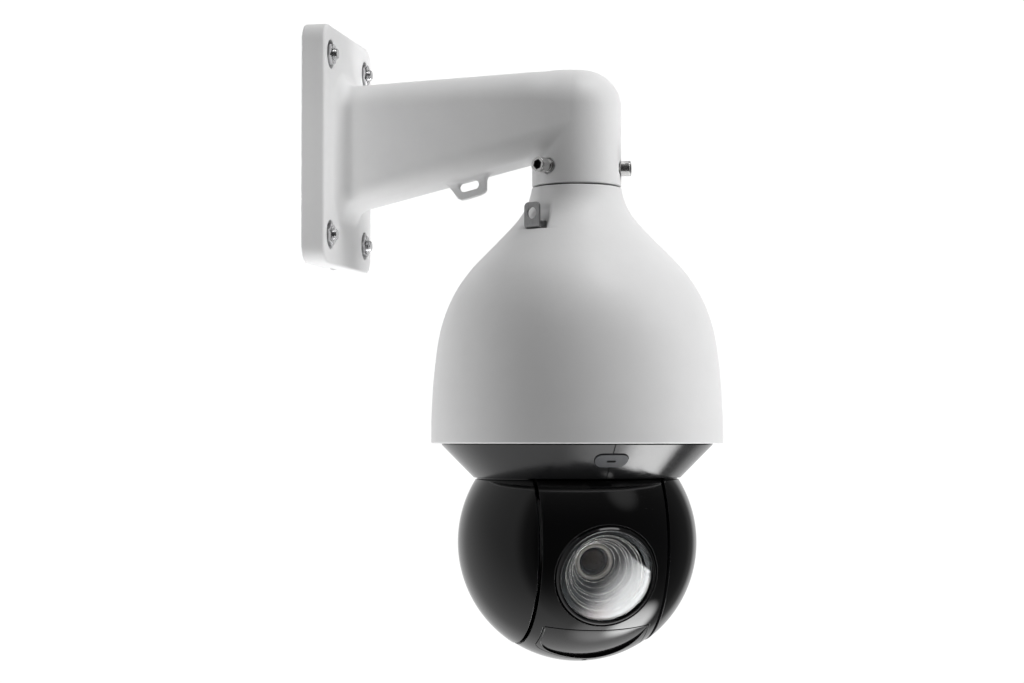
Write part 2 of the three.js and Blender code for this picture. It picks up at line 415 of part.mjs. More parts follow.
// lens bezel, window, barrel and front element: profiles are [radius, distance along the lens]
add(tiltGroup, 'lens_bezel', lathe([[LENS.bezelR, 62], [LENS.bezelR, 68.0], [30.6, 69.0], [LENS.rimR + 0.4, LENS.front], [27.2, LENS.front], [26.6, 70.1],
  [26.6, 66.2], [25.5, 66.2], [25.5, 62]], 48, alongLens), 'black');
add(tiltGroup, 'lens_window', lathe([[0, 66.5], [LENS.glassR, 66.5], [LENS.glassR, 68.7], [26, 69], [0, 69]], 48, alongLens), 'glass');
add(tiltGroup, 'lens_barrel', lathe([[25.1, 20], [25.1, 66], [23, 66], [23, 56.5], [20, 56.5], [20, 52], [17, 52], [17, 47], [14.5, 47], [14.5, 42.5],
  [12.3, 42.5], [12.3, 20]], 36, alongLens), 'dark');
add(tiltGroup, 'lens_front_element', lathe([[0, 56], [12, 56.4], [22.6, 57.2], [22.6, 59.5], [19, 61], [13, 62.3], [7, 63], [0, 63.2]], 44, alongLens), 'glass');
add(tiltGroup, 'zoom_group', lathe([[0, 33], [11.9, 33], [11.9, 40.5], [9.4, 41], [8.6, 41], [8.2, 40.4], [4, 41.2], [0, 41.5]], 36, alongLens), 'brass');
add(tiltGroup, 'focus_group', lathe([[0, -4.6], [5, -4.2], [11.9, -4], [11.9, 2], [6, 2.4], [0, 2.8]], 32, alongLens), 'alu');
add(tiltGroup, 'camera_block', cut(block(-21, 21, -19.7, 34, -21, 21), rod(12.3, -20, 30, 36, alongLens), block(-18, 18, 20.6, 40, -10, 10)), 'dark');
add(tiltGroup, 'ir_cut_filter', block(-8, 8, 24, 25.2, -8, 8), 'glass');
add(tiltGroup, 'sensor_board', union(block(-18, 18, 34.4, 36.2, -18, 18), block(-6, 6, 30.8, 35, -4.5, 4.5), block(-12, 12, 36, 41, 4, 12)), 'pcb');

// illuminator: window flush with the ball, board with three emitters behind it
add(tiltGroup, 'ir_window', cut(moduleSolid, lathe([[0, 37.6], ...mi.map(([r, x]) => [r - 0.5, x]), [0, -37.6]], 84, aboutX)).intersect(windowBox(0.3)), 'window');
const irDir = rad(43);
const irAt = new THREE.Matrix4().makeBasis(new THREE.Vector3(1, 0, 0),
  new THREE.Vector3(0, -Math.sin(irDir), Math.cos(irDir)), new THREE.Vector3(0, -Math.cos(irDir), -Math.sin(irDir)));
add(tiltGroup, 'ir_board', union(solid(boxGeo(-30, 30, -9, 9, 58, 59.6), irAt),
  ...[-19, 0, 19].map(x => lathe([[0, 59.2], [6.2, 59.2], [5.6, 66.2], [4, 67.8], [0, 68]], 16, irAt.clone().multiply(shift(x, 0, 0))))), 'pcb');

export default root;
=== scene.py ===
import math
import bpy
import numpy as np
from mathutils import Vector, Matrix
from mathutils.geometry import delaunay_2d_cdt


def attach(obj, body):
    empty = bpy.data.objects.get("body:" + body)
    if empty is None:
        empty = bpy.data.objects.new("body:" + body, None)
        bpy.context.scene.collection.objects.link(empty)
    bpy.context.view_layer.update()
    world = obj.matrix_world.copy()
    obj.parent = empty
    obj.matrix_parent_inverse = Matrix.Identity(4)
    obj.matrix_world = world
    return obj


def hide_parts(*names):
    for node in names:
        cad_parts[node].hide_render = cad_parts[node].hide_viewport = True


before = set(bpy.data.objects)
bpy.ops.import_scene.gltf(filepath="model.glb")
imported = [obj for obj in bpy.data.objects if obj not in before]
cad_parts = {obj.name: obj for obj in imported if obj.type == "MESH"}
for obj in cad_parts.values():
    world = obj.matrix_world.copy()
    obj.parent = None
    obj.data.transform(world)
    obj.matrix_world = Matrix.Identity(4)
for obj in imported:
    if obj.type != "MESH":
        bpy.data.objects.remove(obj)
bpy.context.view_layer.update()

scene = bpy.context.scene
PI = math.pi

# ------------------------------------------------------------------ frames (millimetres)
AXIS = np.array([166.0, 0.0, 0.0])
CENTRE = np.array([166.0, 0.0, -252.4])
PAN = math.radians(25.0)
TILT = math.radians(15.5)
U = np.array([math.cos(PAN), math.sin(PAN), 0.0])
F0 = np.array([math.sin(PAN), -math.cos(PAN), 0.0])
UP = np.array([0.0, 0.0, 1.0])
LENS = F0 * math.cos(TILT) - UP * math.sin(TILT)
LUP = F0 * math.sin(TILT) + UP * math.cos(TILT)


def outward(psi):
    return np.array([math.sin(psi), -math.cos(psi), 0.0])


def tangent(psi):
    return np.array([math.cos(psi), math.sin(psi), 0.0])


def frame_of(origin, ex, ey, ez):
    """A function from local (n,3) millimetres to world millimetres, and one for directions."""
    M = np.array([ex, ey, ez], float)
    o = np.array(origin, float)
    return (lambda p: np.asarray(p, float) @ M + o), (lambda v: np.asarray(v, float) @ M)


TILT_FRAME = frame_of(CENTRE, U, LENS, LUP)     # (side, along the lens, up)
PAN_FRAME = frame_of(CENTRE, U, F0, UP)
WORLD = frame_of((0, 0, 0), (1, 0, 0), (0, 1, 0), (0, 0, 1))


# ------------------------------------------------------------------ mesh helpers
def unit(v):
    return v / np.maximum(np.linalg.norm(v, axis=-1, keepdims=True), 1e-12)


class Builder:
    """Collects patches of vertices, normals and faces, and makes one object."""

    def __init__(self):
        self.v, self.n, self.f, self.m, self.count = [], [], [], [], 0

    def add(self, v, n, faces, mat=0, flip=False):
        v, n = np.asarray(v, float), np.asarray(n, float)
        self.v.append(v)
        self.n.append(n)
        for face in faces:
            face = [int(i) + self.count for i in face]
            self.f.append(face[::-1] if flip else face)
            self.m.append(mat)
        self.count += len(v)
        return self

    def make(self, name, body, mats, replaces=()):
        V, N = np.concatenate(self.v), np.concatenate(self.n)
        me = bpy.data.meshes.new(name)
        me.from_pydata((V * 0.001).tolist(), [], self.f)
        for mt in mats:
            me.materials.append(mt)
        me.polygons.foreach_set("material_index", self.m)
        me.polygons.foreach_set("use_smooth", [True] * len(me.polygons))
        me.update()
        if me.validate(verbose=False):
            print("validate changed", name)
        if len(me.vertices) == len(N):
            me.normals_split_custom_set_from_vertices(unit(N).tolist())
        ob = bpy.data.objects.new(name, me)
        scene.collection.objects.link(ob)
        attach(ob, body)
        if replaces:
            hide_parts(*replaces)
        return ob


def fix_orientation(V, N, faces):
    """Turns faces so that they agree with their vertices' normals."""
    if not len(faces):
        return []
    F = np.array([f[:3] for f in faces])
    g = np.cross(V[F[:, 1]] - V[F[:, 0]], V[F[:, 2]] - V[F[:, 0]])
    ok = (g * (N[F[:, 0]] + N[F[:, 1]] + N[F[:, 2]])).sum(1) >= 0
    return [list(f) if k else list(f)[::-1] for f, k in zip(faces, ok)]


def rprofile(pts, radii, closed=False, seg=5):
    """A polyline with rounded corners: points and outward normals (to the left of travel turned right: n = (dy, -dx))."""
    pts = [np.array(p, float) for p in pts]
    n = len(pts)
    out_p, out_n = [], []
    rng = range(n)
    for i in rng:
        p = pts[i]
        if not closed and i in (0, n - 1):
            d = unit((pts[1] - pts[0]) if i == 0 else (pts[-1] - pts[-2]))
            out_p.append(p)
            out_n.append(np.array([d[1], -d[0]]))
            continue
        a, b = unit(p - pts[i - 1]), unit(pts[(i + 1) % n] - p)
        na, nb = np.array([a[1], -a[0]]), np.array([b[1], -b[0]])
        turn = math.acos(max(-1, min(1, float(a @ b))))
        r = radii[i] if hasattr(radii, "__len__") else radii
        if turn < 1e-4:
            out_p.append(p)
            out_n.append(na)
            continue
        la, lb = np.linalg.norm(p - pts[i - 1]), np.linalg.norm(pts[(i + 1) % n] - p)
        t = min(r * math.tan(turn / 2), 0.48 * la, 0.48 * lb)
        r = t / math.tan(turn / 2)
        side = 1.0 if a[0] * b[1] - a[1] * b[0] > 0 else -1.0
        c = p - a * t - na * r * side
        k = max(2, int(seg * turn / (PI / 2)) + 1)
        for j in range(k + 1):
            q = turn * j / k
            ang = q * side
            ca, sa = math.cos(ang), math.sin(ang)
            nn = np.array([na[0] * ca - na[1] * sa, na[0] * sa + na[1] * ca])
            out_p.append(c + nn * r * side)
            out_n.append(nn)
    return np.array(out_p), np.array(out_n)


def lathe(b, prof, origin=AXIS, ex=(1, 0, 0), ey=(0, -1, 0), ez=(0, 0, 1), cols=96, start=0.0, stop=None, mat=0, close=False, caps=False):
    """Revolves (points, normals) of (radius, height). Angles run from ex towards ey."""
    P, N = prof
    full = stop is None
    ang = np.linspace(0, 2 * PI, cols, endpoint=False) + start if full else np.linspace(start, stop, cols)
    ex, ey, ez = np.array(ex, float), np.array(ey, float), np.array(ez, float)
    ring = np.cos(ang)[:, None] * ex + np.sin(ang)[:, None] * ey
    V = (np.array(origin)[None, None] + P[:, 0][:, None, None] * ring[None] + P[:, 1][:, None, None] * ez).reshape(-1, 3)
    NN = (N[:, 0][:, None, None] * ring[None] + N[:, 1][:, None, None] * ez).reshape(-1, 3)
    m, c = len(P), len(ang)
    faces = []
    for i in range(m if close else m - 1):
        i2 = (i + 1) % m
        z1, z2 = P[i, 0] < 1e-6, P[i2, 0] < 1e-6
        if z1 and z2:
            continue
        for j in range(c if full else c - 1):
            j2 = (j + 1) % c
            ids = [i * c + j, i * c + j2, i2 * c + j2, i2 * c + j]
            faces.append([ids[0], ids[2], ids[3]] if z1 else ([ids[0], ids[1], ids[2]] if z2 else ids))
    # one orientation test is enough for a lathe
    faces = fix_orientation(V, NN, faces)
    b.add(V, NN, faces, mat)
    if caps and not full:
        loop = [tuple(x) for x in P]
        tri_v, tri = cdt([np.array(loop)], [])
        for k, s in ((0, -1), (c - 1, 1)):
            r = ring[k]
            t = np.cross(ez, r) * (1 if np.cross(ex, ey) @ ez > 0 else -1)
            vv = np.array(origin)[None] + tri_v[:, :1] * r + tri_v[:, 1:] * ez
            nn = np.repeat((t * s)[None], len(vv), 0)
            b.add(vv, nn, fix_orientation(vv, nn, tri), mat)
    return b


def inside(poly, pts):
    x, y = pts[:, 0], pts[:, 1]
    c = np.zeros(len(pts), bool)
    x1, y1 = poly[:, 0], poly[:, 1]
    x2, y2 = np.roll(x1, -1), np.roll(y1, -1)
    for i in range(len(poly)):
        hit = (y1[i] > y) != (y2[i] > y)
        if hit.any():
            xi = (x2[i] - x1[i]) * (y - y1[i]) / (y2[i] - y1[i] + 1e-30) + x1[i]
            c ^= hit & (x < xi)
    return c


def edge_gap(poly, pts):
    best = np.full(len(pts), 1e9)
    a, b = poly, np.roll(poly, -1, 0)
    for i in range(len(poly)):
        d = b[i] - a[i]
        t = np.clip(((pts - a[i]) @ d) / max(d @ d, 1e-12), 0, 1)
        best = np.minimum(best, np.linalg.norm(pts - a[i] - t[:, None] * d, axis=1))
    return best


def cdt(loops, extra):
    """Triangulates the inside of loops[0] outside the other loops, with extra points."""
    pts, edges = [], []
    for lp in loops:
        s = len(pts)
        pts += [Vector((float(p[0]), float(p[1]))) for p in lp]
        edges += [(s + i, s + (i + 1) % len(lp)) for i in range(len(lp))]
    pts += [Vector((float(p[0]), float(p[1]))) for p in extra]
    v, _, f, *_ = delaunay_2d_cdt(pts, edges, [], 1, 1e-7)
    v = np.array([(p[0], p[1]) for p in v])
    f = [t for t in f if len(t) >= 3]
    cen = np.array([v[list(t)].mean(0) for t in f])
    ok = inside(np.array(loops[0]), cen)
    for h in loops[1:]:
        ok &= ~inside(np.array(h), cen)
    return v, [list(t) for t, k in zip(f, ok) if k]


def area2(lp):
    x, y = lp[:, 0], lp[:, 1]
    return float(np.sum(x * np.roll(y, -1) - np.roll(x, -1) * y)) / 2


def loop_normals(lp):
    """Unit normals pointing out of a counter-clockwise loop, and the mitre factor."""
    d = unit(np.roll(lp, -1, 0) - lp)
    n = np.stack([d[:, 1], -d[:, 0]], 1)
    m = unit(n + np.roll(n, 1, 0))
    k = 1 / np.maximum(np.sum(m * n, 1), 0.5)
    return m, k


def hexgrid(lo, hi, step):
    xs = np.arange(lo[0], hi[0] + step, step)
    ys = np.arange(lo[1], hi[1] + step, step * 0.866)
    out = []
    for j, y in enumerate(ys):
        out.append(np.stack([xs + (step / 2 if j % 2 else 0), np.full(len(xs), y)], 1))
    return np.concatenate(out)


def slab(b, outline, holes, mapf, top, bot, bev=0.4, bev_bot=None, step=None, mat=0, side_mat=None, extra=None, bottom=True, steps=4, step_bot=None, hole_mat=None):
    """A sheet with rounded edges over a 2D domain. mapf(s, t, h) gives points; top and bot are heights or functions of (s, t)."""
    bev_bot = bev if bev_bot is None else bev_bot
    topf = top if callable(top) else (lambda s, t: np.full(len(s), float(top)))
    botf = bot if callable(bot) else (lambda s, t: np.full(len(s), float(bot)))
    loops = []
    for i, lp in enumerate([outline, *holes]):
        lp = np.array(lp, float)
        if (area2(lp) > 0) != (i == 0):
            lp = lp[::-1]
        loops.append(lp)

    def surf(hf, q):
        return mapf(q[:, 0], q[:, 1], hf(q[:, 0], q[:, 1]))

    e = 1e-3

    def normals(hf, q):
        ds = surf(hf, q + [e, 0]) - surf(hf, q - [e, 0])
        dt = surf(hf, q + [0, e]) - surf(hf, q - [0, e])
        return unit(np.cross(ds, dt))

    faces_of = {}
    for is_top, hf, bv in ((True, topf, bev), (False, botf, bev_bot)):
        if not is_top and not bottom:
            continue
        ins = []
        for lp in loops:
            m, k = loop_normals(lp)
            ins.append(lp - m * (k * bv)[:, None])
        st = step if is_top else (step_bot or step)
        pts = np.zeros((0, 2))
        if st:
            g = hexgrid(loops[0].min(0), loops[0].max(0), st)
            ok = inside(ins[0], g)
            g = g[ok]
            keep = edge_gap(ins[0], g) > st * 0.45
            for h in ins[1:]:
                keep &= ~inside(h, g)
                keep &= edge_gap(h, g) > st * 0.45
            pts = g[keep]
        if extra is not None and is_top:
            pts = np.concatenate([pts, extra])
        v2, tri = cdt(ins, pts)
        V = surf(hf, v2)
        N = normals(hf, v2) * (1 if is_top else -1)
        b.add(V, N, fix_orientation(V, N, tri), mat)
    for li, lp in enumerate(loops):
        m, k = loop_normals(lp)
        rows_v, rows_n = [], []
        for is_top, hf, bv in ((True, topf, bev), (False, botf, bev_bot)):
            sgn = 1 if is_top else -1
            base = mapf(lp[:, 0], lp[:, 1], hf(lp[:, 0], lp[:, 1]) - sgn * bv)
            es = mapf(lp[:, 0] + e, lp[:, 1], hf(*lp.T)) - mapf(lp[:, 0] - e, lp[:, 1], hf(*lp.T))
            et = mapf(lp[:, 0], lp[:, 1] + e, hf(*lp.T)) - mapf(lp[:, 0], lp[:, 1] - e, hf(*lp.T))
            T3 = unit(unit(es) * m[:, :1] + unit(et) * m[:, 1:])
            ks = range(steps + 1)
            if not bottom and not is_top:
                rows_v.append(mapf(lp[:, 0], lp[:, 1], hf(*lp.T)))
                rows_n.append(T3)
                continue
            part_v, part_n = [], []
            for j in ks:
                a = PI / 2 * (1 - j / steps)
                q = lp - m * (k * bv * (1 - math.cos(a)))[:, None]
                h0 = hf(q[:, 0], q[:, 1]) - sgn * bv * (1 - math.sin(a))
                part_v.append(mapf(q[:, 0], q[:, 1], h0))
                Nt = normals(hf, q) * sgn
                part_n.append(unit(T3 * math.cos(a) + Nt * math.sin(a)))
            if is_top:
                rows_v += part_v
                rows_n += part_n
            else:
                rows_v += part_v[::-1]
                rows_n += part_n[::-1]
        V = np.concatenate(rows_v)
        N = np.concatenate(rows_n)
        c = len(lp)
        faces = []
        for i in range(len(rows_v) - 1):
            for j in range(c):
                faces.append([i * c + j, i * c + (j + 1) % c, (i + 1) * c + (j + 1) % c, (i + 1) * c + j])
        mm = mat if side_mat is None else side_mat
        if li > 0 and hole_mat is not None:
            mm = hole_mat
        b.add(V, N, fix_orientation(V, N, faces), mm)
    return b


def plane_map(origin, es, et, en):
    origin, es, et, en = (np.array(x, float) for x in (origin, es, et, en))
    return lambda s, t, h: origin + np.outer(s, es) + np.outer(t, et) + np.outer(h, en)


def circle(r, n=64, c=(0, 0), ph=0.0):
    a = np.linspace(0, 2 * PI, n, endpoint=False) + ph
    return np.stack([c[0] + r * np.cos(a), c[1] + r * np.sin(a)], 1)


def rounded(pts, radii, seg=6):
    """A closed outline with rounded corners."""
    return rprofile(pts, radii, closed=True, seg=seg)[0]


def resample(lp, step):
    """A closed loop with a point about every step, corners kept."""
    lp = np.array(lp, float)
    out = []
    for a, b in zip(lp, np.roll(lp, -1, 0)):
        d = np.linalg.norm(b - a)
        k = max(1, int(math.ceil(d / step)))
        for i in range(k):
            out.append(a + (b - a) * i / k)
    return np.array(out)


def hexagon(r, round_r=0.5, ph=0.0, seg=3):
    return resample(rounded([(r * math.cos(ph + i * PI / 3), r * math.sin(ph + i * PI / 3)) for i in range(6)], round_r, seg), 1.2)


def spline_through(pts, n):
    """A natural cubic spline by arc length through points, sampled at n places."""
    P = np.array(pts, float)
    s = np.concatenate([[0], np.cumsum(np.linalg.norm(np.diff(P, axis=0), axis=1))])
    m = len(P)
    A = np.zeros((m, m))
    B = np.zeros((m, P.shape[1]))
    A[0, 0] = A[-1, -1] = 1
    h = np.diff(s)
    for i in range(1, m - 1):
        A[i, i - 1], A[i, i], A[i, i + 1] = h[i - 1], 2 * (h[i - 1] + h[i]), h[i]
        B[i] = 6 * ((P[i + 1] - P[i]) / h[i] - (P[i] - P[i - 1]) / h[i - 1])
    M = np.linalg.solve(A, B)
    q = np.linspace(0, s[-1], n) if np.isscalar(n) else np.asarray(n) * s[-1]
    i = np.clip(np.searchsorted(s, q) - 1, 0, m - 2)
    t0, t1, hh = (s[i + 1] - q)[:, None], (q - s[i])[:, None], h[i][:, None]
    return M[i] * t0**3 / (6 * hh) + M[i + 1] * t1**3 / (6 * hh) + (P[i] / hh - M[i] * hh / 6) * t0 + (P[i + 1] / hh - M[i + 1] * hh / 6) * t1


# ------------------------------------------------------------------ materials
def new_mat(name):
    mt = bpy.data.materials.new(name)
    mt.use_nodes = True
    nt = mt.node_tree
    bs = next(n for n in nt.nodes if n.type == "BSDF_PRINCIPLED")
    return mt, nt, bs


def noise(nt, scale, detail=4, rough=0.5, stretch=None, distortion=0.0):
    co = nt.nodes.new("ShaderNodeTexCoord")
    src = co.outputs["Object"]
    if stretch:
        mp = nt.nodes.new("ShaderNodeMapping")
        mp.inputs["Scale"].default_value = stretch
        nt.links.new(src, mp.inputs["Vector"])
        src = mp.outputs["Vector"]
    nz = nt.nodes.new("ShaderNodeTexNoise")
    nz.inputs["Scale"].default_value = scale
    nz.inputs["Detail"].default_value = detail
    nz.inputs["Roughness"].default_value = rough
    nz.inputs["Distortion"].default_value = distortion
    nt.links.new(src, nz.inputs["Vector"])
    return nz.outputs["Fac"]


def ramp(nt, fac, stops):
    cr = nt.nodes.new("ShaderNodeValToRGB")
    el = cr.color_ramp.elements
    el[0].position, el[0].color = stops[0][0], (*stops[0][1], 1)
    el[1].position, el[1].color = stops[-1][0], (*stops[-1][1], 1)
    for p, c in stops[1:-1]:
        x = el.new(p)
        x.color = (*c, 1)
    nt.links.new(fac, cr.inputs["Fac"])
    return cr.outputs["Color"]


def maprange(nt, fac, a, b, c, d):
    m = nt.nodes.new("ShaderNodeMapRange")
    for k, v in zip(("From Min", "From Max", "To Min", "To Max"), (a, b, c, d)):
        m.inputs[k].default_value = v
    nt.links.new(fac, m.inputs["Value"])
    return m.outputs["Result"]


def bump(nt, bs, layers):
    """layers of (height socket, strength, distance)."""
    last = None
    for h, s, d in layers:
        bp = nt.nodes.new("ShaderNodeBump")
        bp.inputs["Strength"].default_value = s
        bp.inputs["Distance"].default_value = d
        nt.links.new(h, bp.inputs["Height"])
        if last is not None:
            nt.links.new(last, bp.inputs["Normal"])
        last = bp.outputs["Normal"]
    nt.links.new(last, bs.inputs["Normal"])


def simple_mat(name, col, var=0.06, rough=(0.4, 0.5), metallic=0.0, scale=120, fine=(1500, 0.1, 0.0001), coarse=None, coat=0.0, coat_rough=0.05, ior=1.5, spec=0.5, stretch=None):
    mt, nt, bs = new_mat(name)
    n1 = noise(nt, scale, 5, 0.55, stretch)
    c = np.array(col, float)
    nt.links.new(ramp(nt, n1, [(0.3, tuple(c * (1 - var))), (0.5, tuple(c)), (0.7, tuple(np.minimum(c * (1 + var), 1)))]), bs.inputs["Base Color"])
    nt.links.new(maprange(nt, noise(nt, scale * 2.3, 3, 0.6, stretch), 0.3, 0.7, rough[0], rough[1]), bs.inputs["Roughness"])
    bs.inputs["Metallic"].default_value = metallic
    bs.inputs["IOR"].default_value = ior
    bs.inputs["Specular IOR Level"].default_value = spec
    bs.inputs["Coat Weight"].default_value = coat
    bs.inputs["Coat Roughness"].default_value = coat_rough
    lay = []
    if coarse:
        lay.append((noise(nt, coarse[0], 3, 0.5, stretch), coarse[1], coarse[2]))
    if fine:
        lay.append((noise(nt, fine[0], 4, 0.6, stretch), fine[1], fine[2]))
    if lay:
        bump(nt, bs, lay)
    return mt


M_WHITE = simple_mat("powder_coat_white", (0.783, 0.783, 0.785), 0.012, (0.36, 0.46), 0, 60, (1400, 0.10, 0.00012), (420, 0.10, 0.0004), ior=1.5)
M_WHITE_IN = simple_mat("powder_coat_inside", (0.60, 0.605, 0.61), 0.04, (0.5, 0.62), 0, 90, (900, 0.2, 0.0003))
M_BLACK = simple_mat("gloss_black", (0.0016, 0.0016, 0.0018), 0.25, (0.075, 0.11), 0, 35, (900, 0.010, 0.00006), None, coat=0.0, ior=1.5)
M_BLACK_EDGE = simple_mat("gloss_black_edge", (0.010, 0.010, 0.011), 0.2, (0.20, 0.28), 0, 80, (1200, 0.04, 0.0001))
# near-black: the slip ring's own colour, and painted shade where it lines screw sockets, the cap's slot and the rim
# under the cap
M_DARK_MOULDING_AND_SHADE = simple_mat("dark_moulding_and_painted_shade", (0.010, 0.010, 0.011), 0.25, (0.55, 0.7), 0, 150, (900, 0.2, 0.0002))
M_SKIRT = simple_mat("satin_dark", (0.012, 0.0122, 0.013), 0.10, (0.11, 0.16), 0, 90, (1100, 0.10, 0.00012), (260, 0.06, 0.0003))
M_CAP = simple_mat("cap_grey", (0.085, 0.088, 0.094), 0.08, (0.50, 0.62), 0, 200, (1600, 0.25, 0.0002))
M_ZINC = simple_mat("zinc_plate", (0.66, 0.66, 0.67), 0.14, (0.14, 0.26), 1.0, 260, (1800, 0.12, 0.0001), (500, 0.1, 0.0002))
M_ZINC_DARK = simple_mat("zinc_dark", (0.13, 0.133, 0.137), 0.22, (0.26, 0.42), 1.0, 240, (1500, 0.2, 0.0001))
M_STEEL = simple_mat("stainless_turned", (0.72, 0.715, 0.71), 0.08, (0.12, 0.22), 1.0, 300, (2200, 0.10, 0.00008), None, stretch=(1, 1, 6))
M_STEEL_DULL = simple_mat("stainless_brushed", (0.36, 0.36, 0.365), 0.12, (0.27, 0.40), 1.0, 260, (1500, 0.15, 0.0001), None, stretch=(5, 5, 0.7))
M_ALU = simple_mat("cast_aluminium", (0.55, 0.56, 0.57), 0.12, (0.38, 0.55), 1.0, 150, (900, 0.25, 0.0002), (240, 0.2, 0.0005))
M_RUBBER = simple_mat("rubber_black", (0.012, 0.012, 0.012), 0.2, (0.6, 0.78), 0, 200, (1300, 0.3, 0.0002))
M_BARREL = simple_mat("barrel_black", (0.0045, 0.0045, 0.0048), 0.15, (0.30, 0.42), 0, 220, (1800, 0.10, 0.0001))
M_RING = simple_mat("turned_ring", (0.86, 0.82, 0.77), 0.12, (0.14, 0.22), 1.0, 300, (2000, 0.1, 0.0001))
M_CHAMPAGNE = simple_mat("champagne_ring", (0.93, 0.87, 0.77), 0.06, (0.18, 0.28), 0, 300, (2000, 0.1, 0.0001))
M_BOARD = simple_mat("solder_mask", (0.012, 0.10, 0.035), 0.25, (0.35, 0.5), 0, 700, (900, 0.3, 0.0002))
M_SCREW_DARK = simple_mat("screw_black", (0.05, 0.05, 0.052), 0.2, (0.3, 0.42), 1.0, 300, (1800, 0.15, 0.0001))
M_GUIDE = simple_mat("iris_brown", (0.030, 0.016, 0.010), 0.3, (0.16, 0.24), 0, 300, (1500, 0.08, 0.0001))


def glass_mat(name, tint, rough=0.004, ior=1.45, coat_col=None):
    mt, nt, bs = new_mat(name)
    n1 = noise(nt, 30, 2, 0.5)
    c = np.array(tint)
    nt.links.new(ramp(nt, n1, [(0.3, tuple(c * 0.985)), (0.7, tuple(c))]), bs.inputs["Base Color"])
    bs.inputs["Roughness"].default_value = 0.0
    bs.inputs["IOR"].default_value = ior
    bs.inputs["Transmission Weight"].default_value = 1.0
    return mt


M_GLASS = glass_mat("coated_window", (0.93, 0.96, 0.97))
M_FRONT = glass_mat("coated_element", (0.96, 0.95, 0.96), ior=1.06)
M_IRWIN = simple_mat("ir_window_gloss", (0.0025, 0.0022, 0.0025), 0.3, (0.05, 0.085), 0, 30, (800, 0.006, 0.00005), None)
M_IRPANEL = simple_mat("ir_panel_satin", (0.0035, 0.0033, 0.0036), 0.3, (0.11, 0.16), 0, 60, (900, 0.02, 0.00008), None)


# ------------------------------------------------------------------ signed distances for the bracket casting
def hyp(a, b):
    return np.sqrt(a * a + b * b)


def r_union(a, b, r):
    u, v = np.maximum(r - a, 0), np.maximum(r - b, 0)
    return np.maximum(r, np.minimum(a, b)) - hyp(u, v)


def r_cut(a, b, r):
    """a with b taken away, the new edge rounded to r."""
    b = -b
    u, v = np.maximum(r + a, 0), np.maximum(r + b, 0)
    return np.minimum(-r, np.maximum(a, b)) + hyp(u, v)


def box2(x, y, hx, hy, r):
    qx, qy = np.abs(x) - (hx - r), np.abs(y) - (hy - r)
    return hyp(np.maximum(qx, 0), np.maximum(qy, 0)) + np.minimum(np.maximum(qx, qy), 0) - r


def meet(a, b, r):
    """The overlap of two solids, its edge rounded to r."""
    a, b = a + r, b + r
    return np.minimum(np.maximum(a, b), 0) + hyp(np.maximum(a, 0), np.maximum(b, 0)) - r


def poly_sdf(px, pz, pts):
    best = np.full(px.shape, 1e9)
    sign = np.zeros(px.shape, bool)
    n = len(pts)
    for i in range(n):
        (x1, z1), (x2, z2) = pts[i], pts[(i + 1) % n]
        dx, dz = x2 - x1, z2 - z1
        t = np.clip(((px - x1) * dx + (pz - z1) * dz) / (dx * dx + dz * dz), 0, 1)
        best = np.minimum(best, hyp(px - x1 - t * dx, pz - z1 - t * dz))
        hit = (z1 > pz) != (z2 > pz)
        if z1 != z2:
            sign ^= hit & (px < (x2 - x1) * (pz - z1) / (z2 - z1) + x1)
    return np.where(sign, -best, best)


LUG = [(83.0, -12), (83.6, -25.0), (88.6, -31.9), (90.6, -32.8), (93.4, -32.5), (103.5, -29.6), (105.9, -28.3), (107.2, -26.6), (107.2, -8)]
LUG_ANGLE = math.atan(30.1 / 122.4)
HOLES = [(43, 57.5), (-43, 57.5), (43, -57.5), (-43, -57.5)]
SCREWS = [math.radians(a) for a in (90, -30, -150)]


def arm_section(rho, x, z, off, low):
    xs = np.minimum(x, 166.0)
    k = np.clip((xs - 15) / 150, 0, 1)
    top = 41.0 + 7.7 * k - off
    bot = -38.6 + (30.1 / 122.4) * (xs - 15) + low
    hw = 29 - 0.4 * k - off
    e = np.clip((xs - 137) / 29, 0, 1)
    rt = np.maximum(17 + 3 * k + 4 * e * e * (3 - 2 * e) - off, 2)
    rb = max(15 - off, 2)
    zc, hh = (top + bot) / 2, (top - bot) / 2
    r = np.where(z > zc, rt, rb)
    qx, qz = rho - (hw - r), np.abs(z - zc) - (hh - r)
    return hyp(np.maximum(qx, 0), np.maximum(qz, 0)) + np.minimum(np.maximum(qx, qz), 0) - r


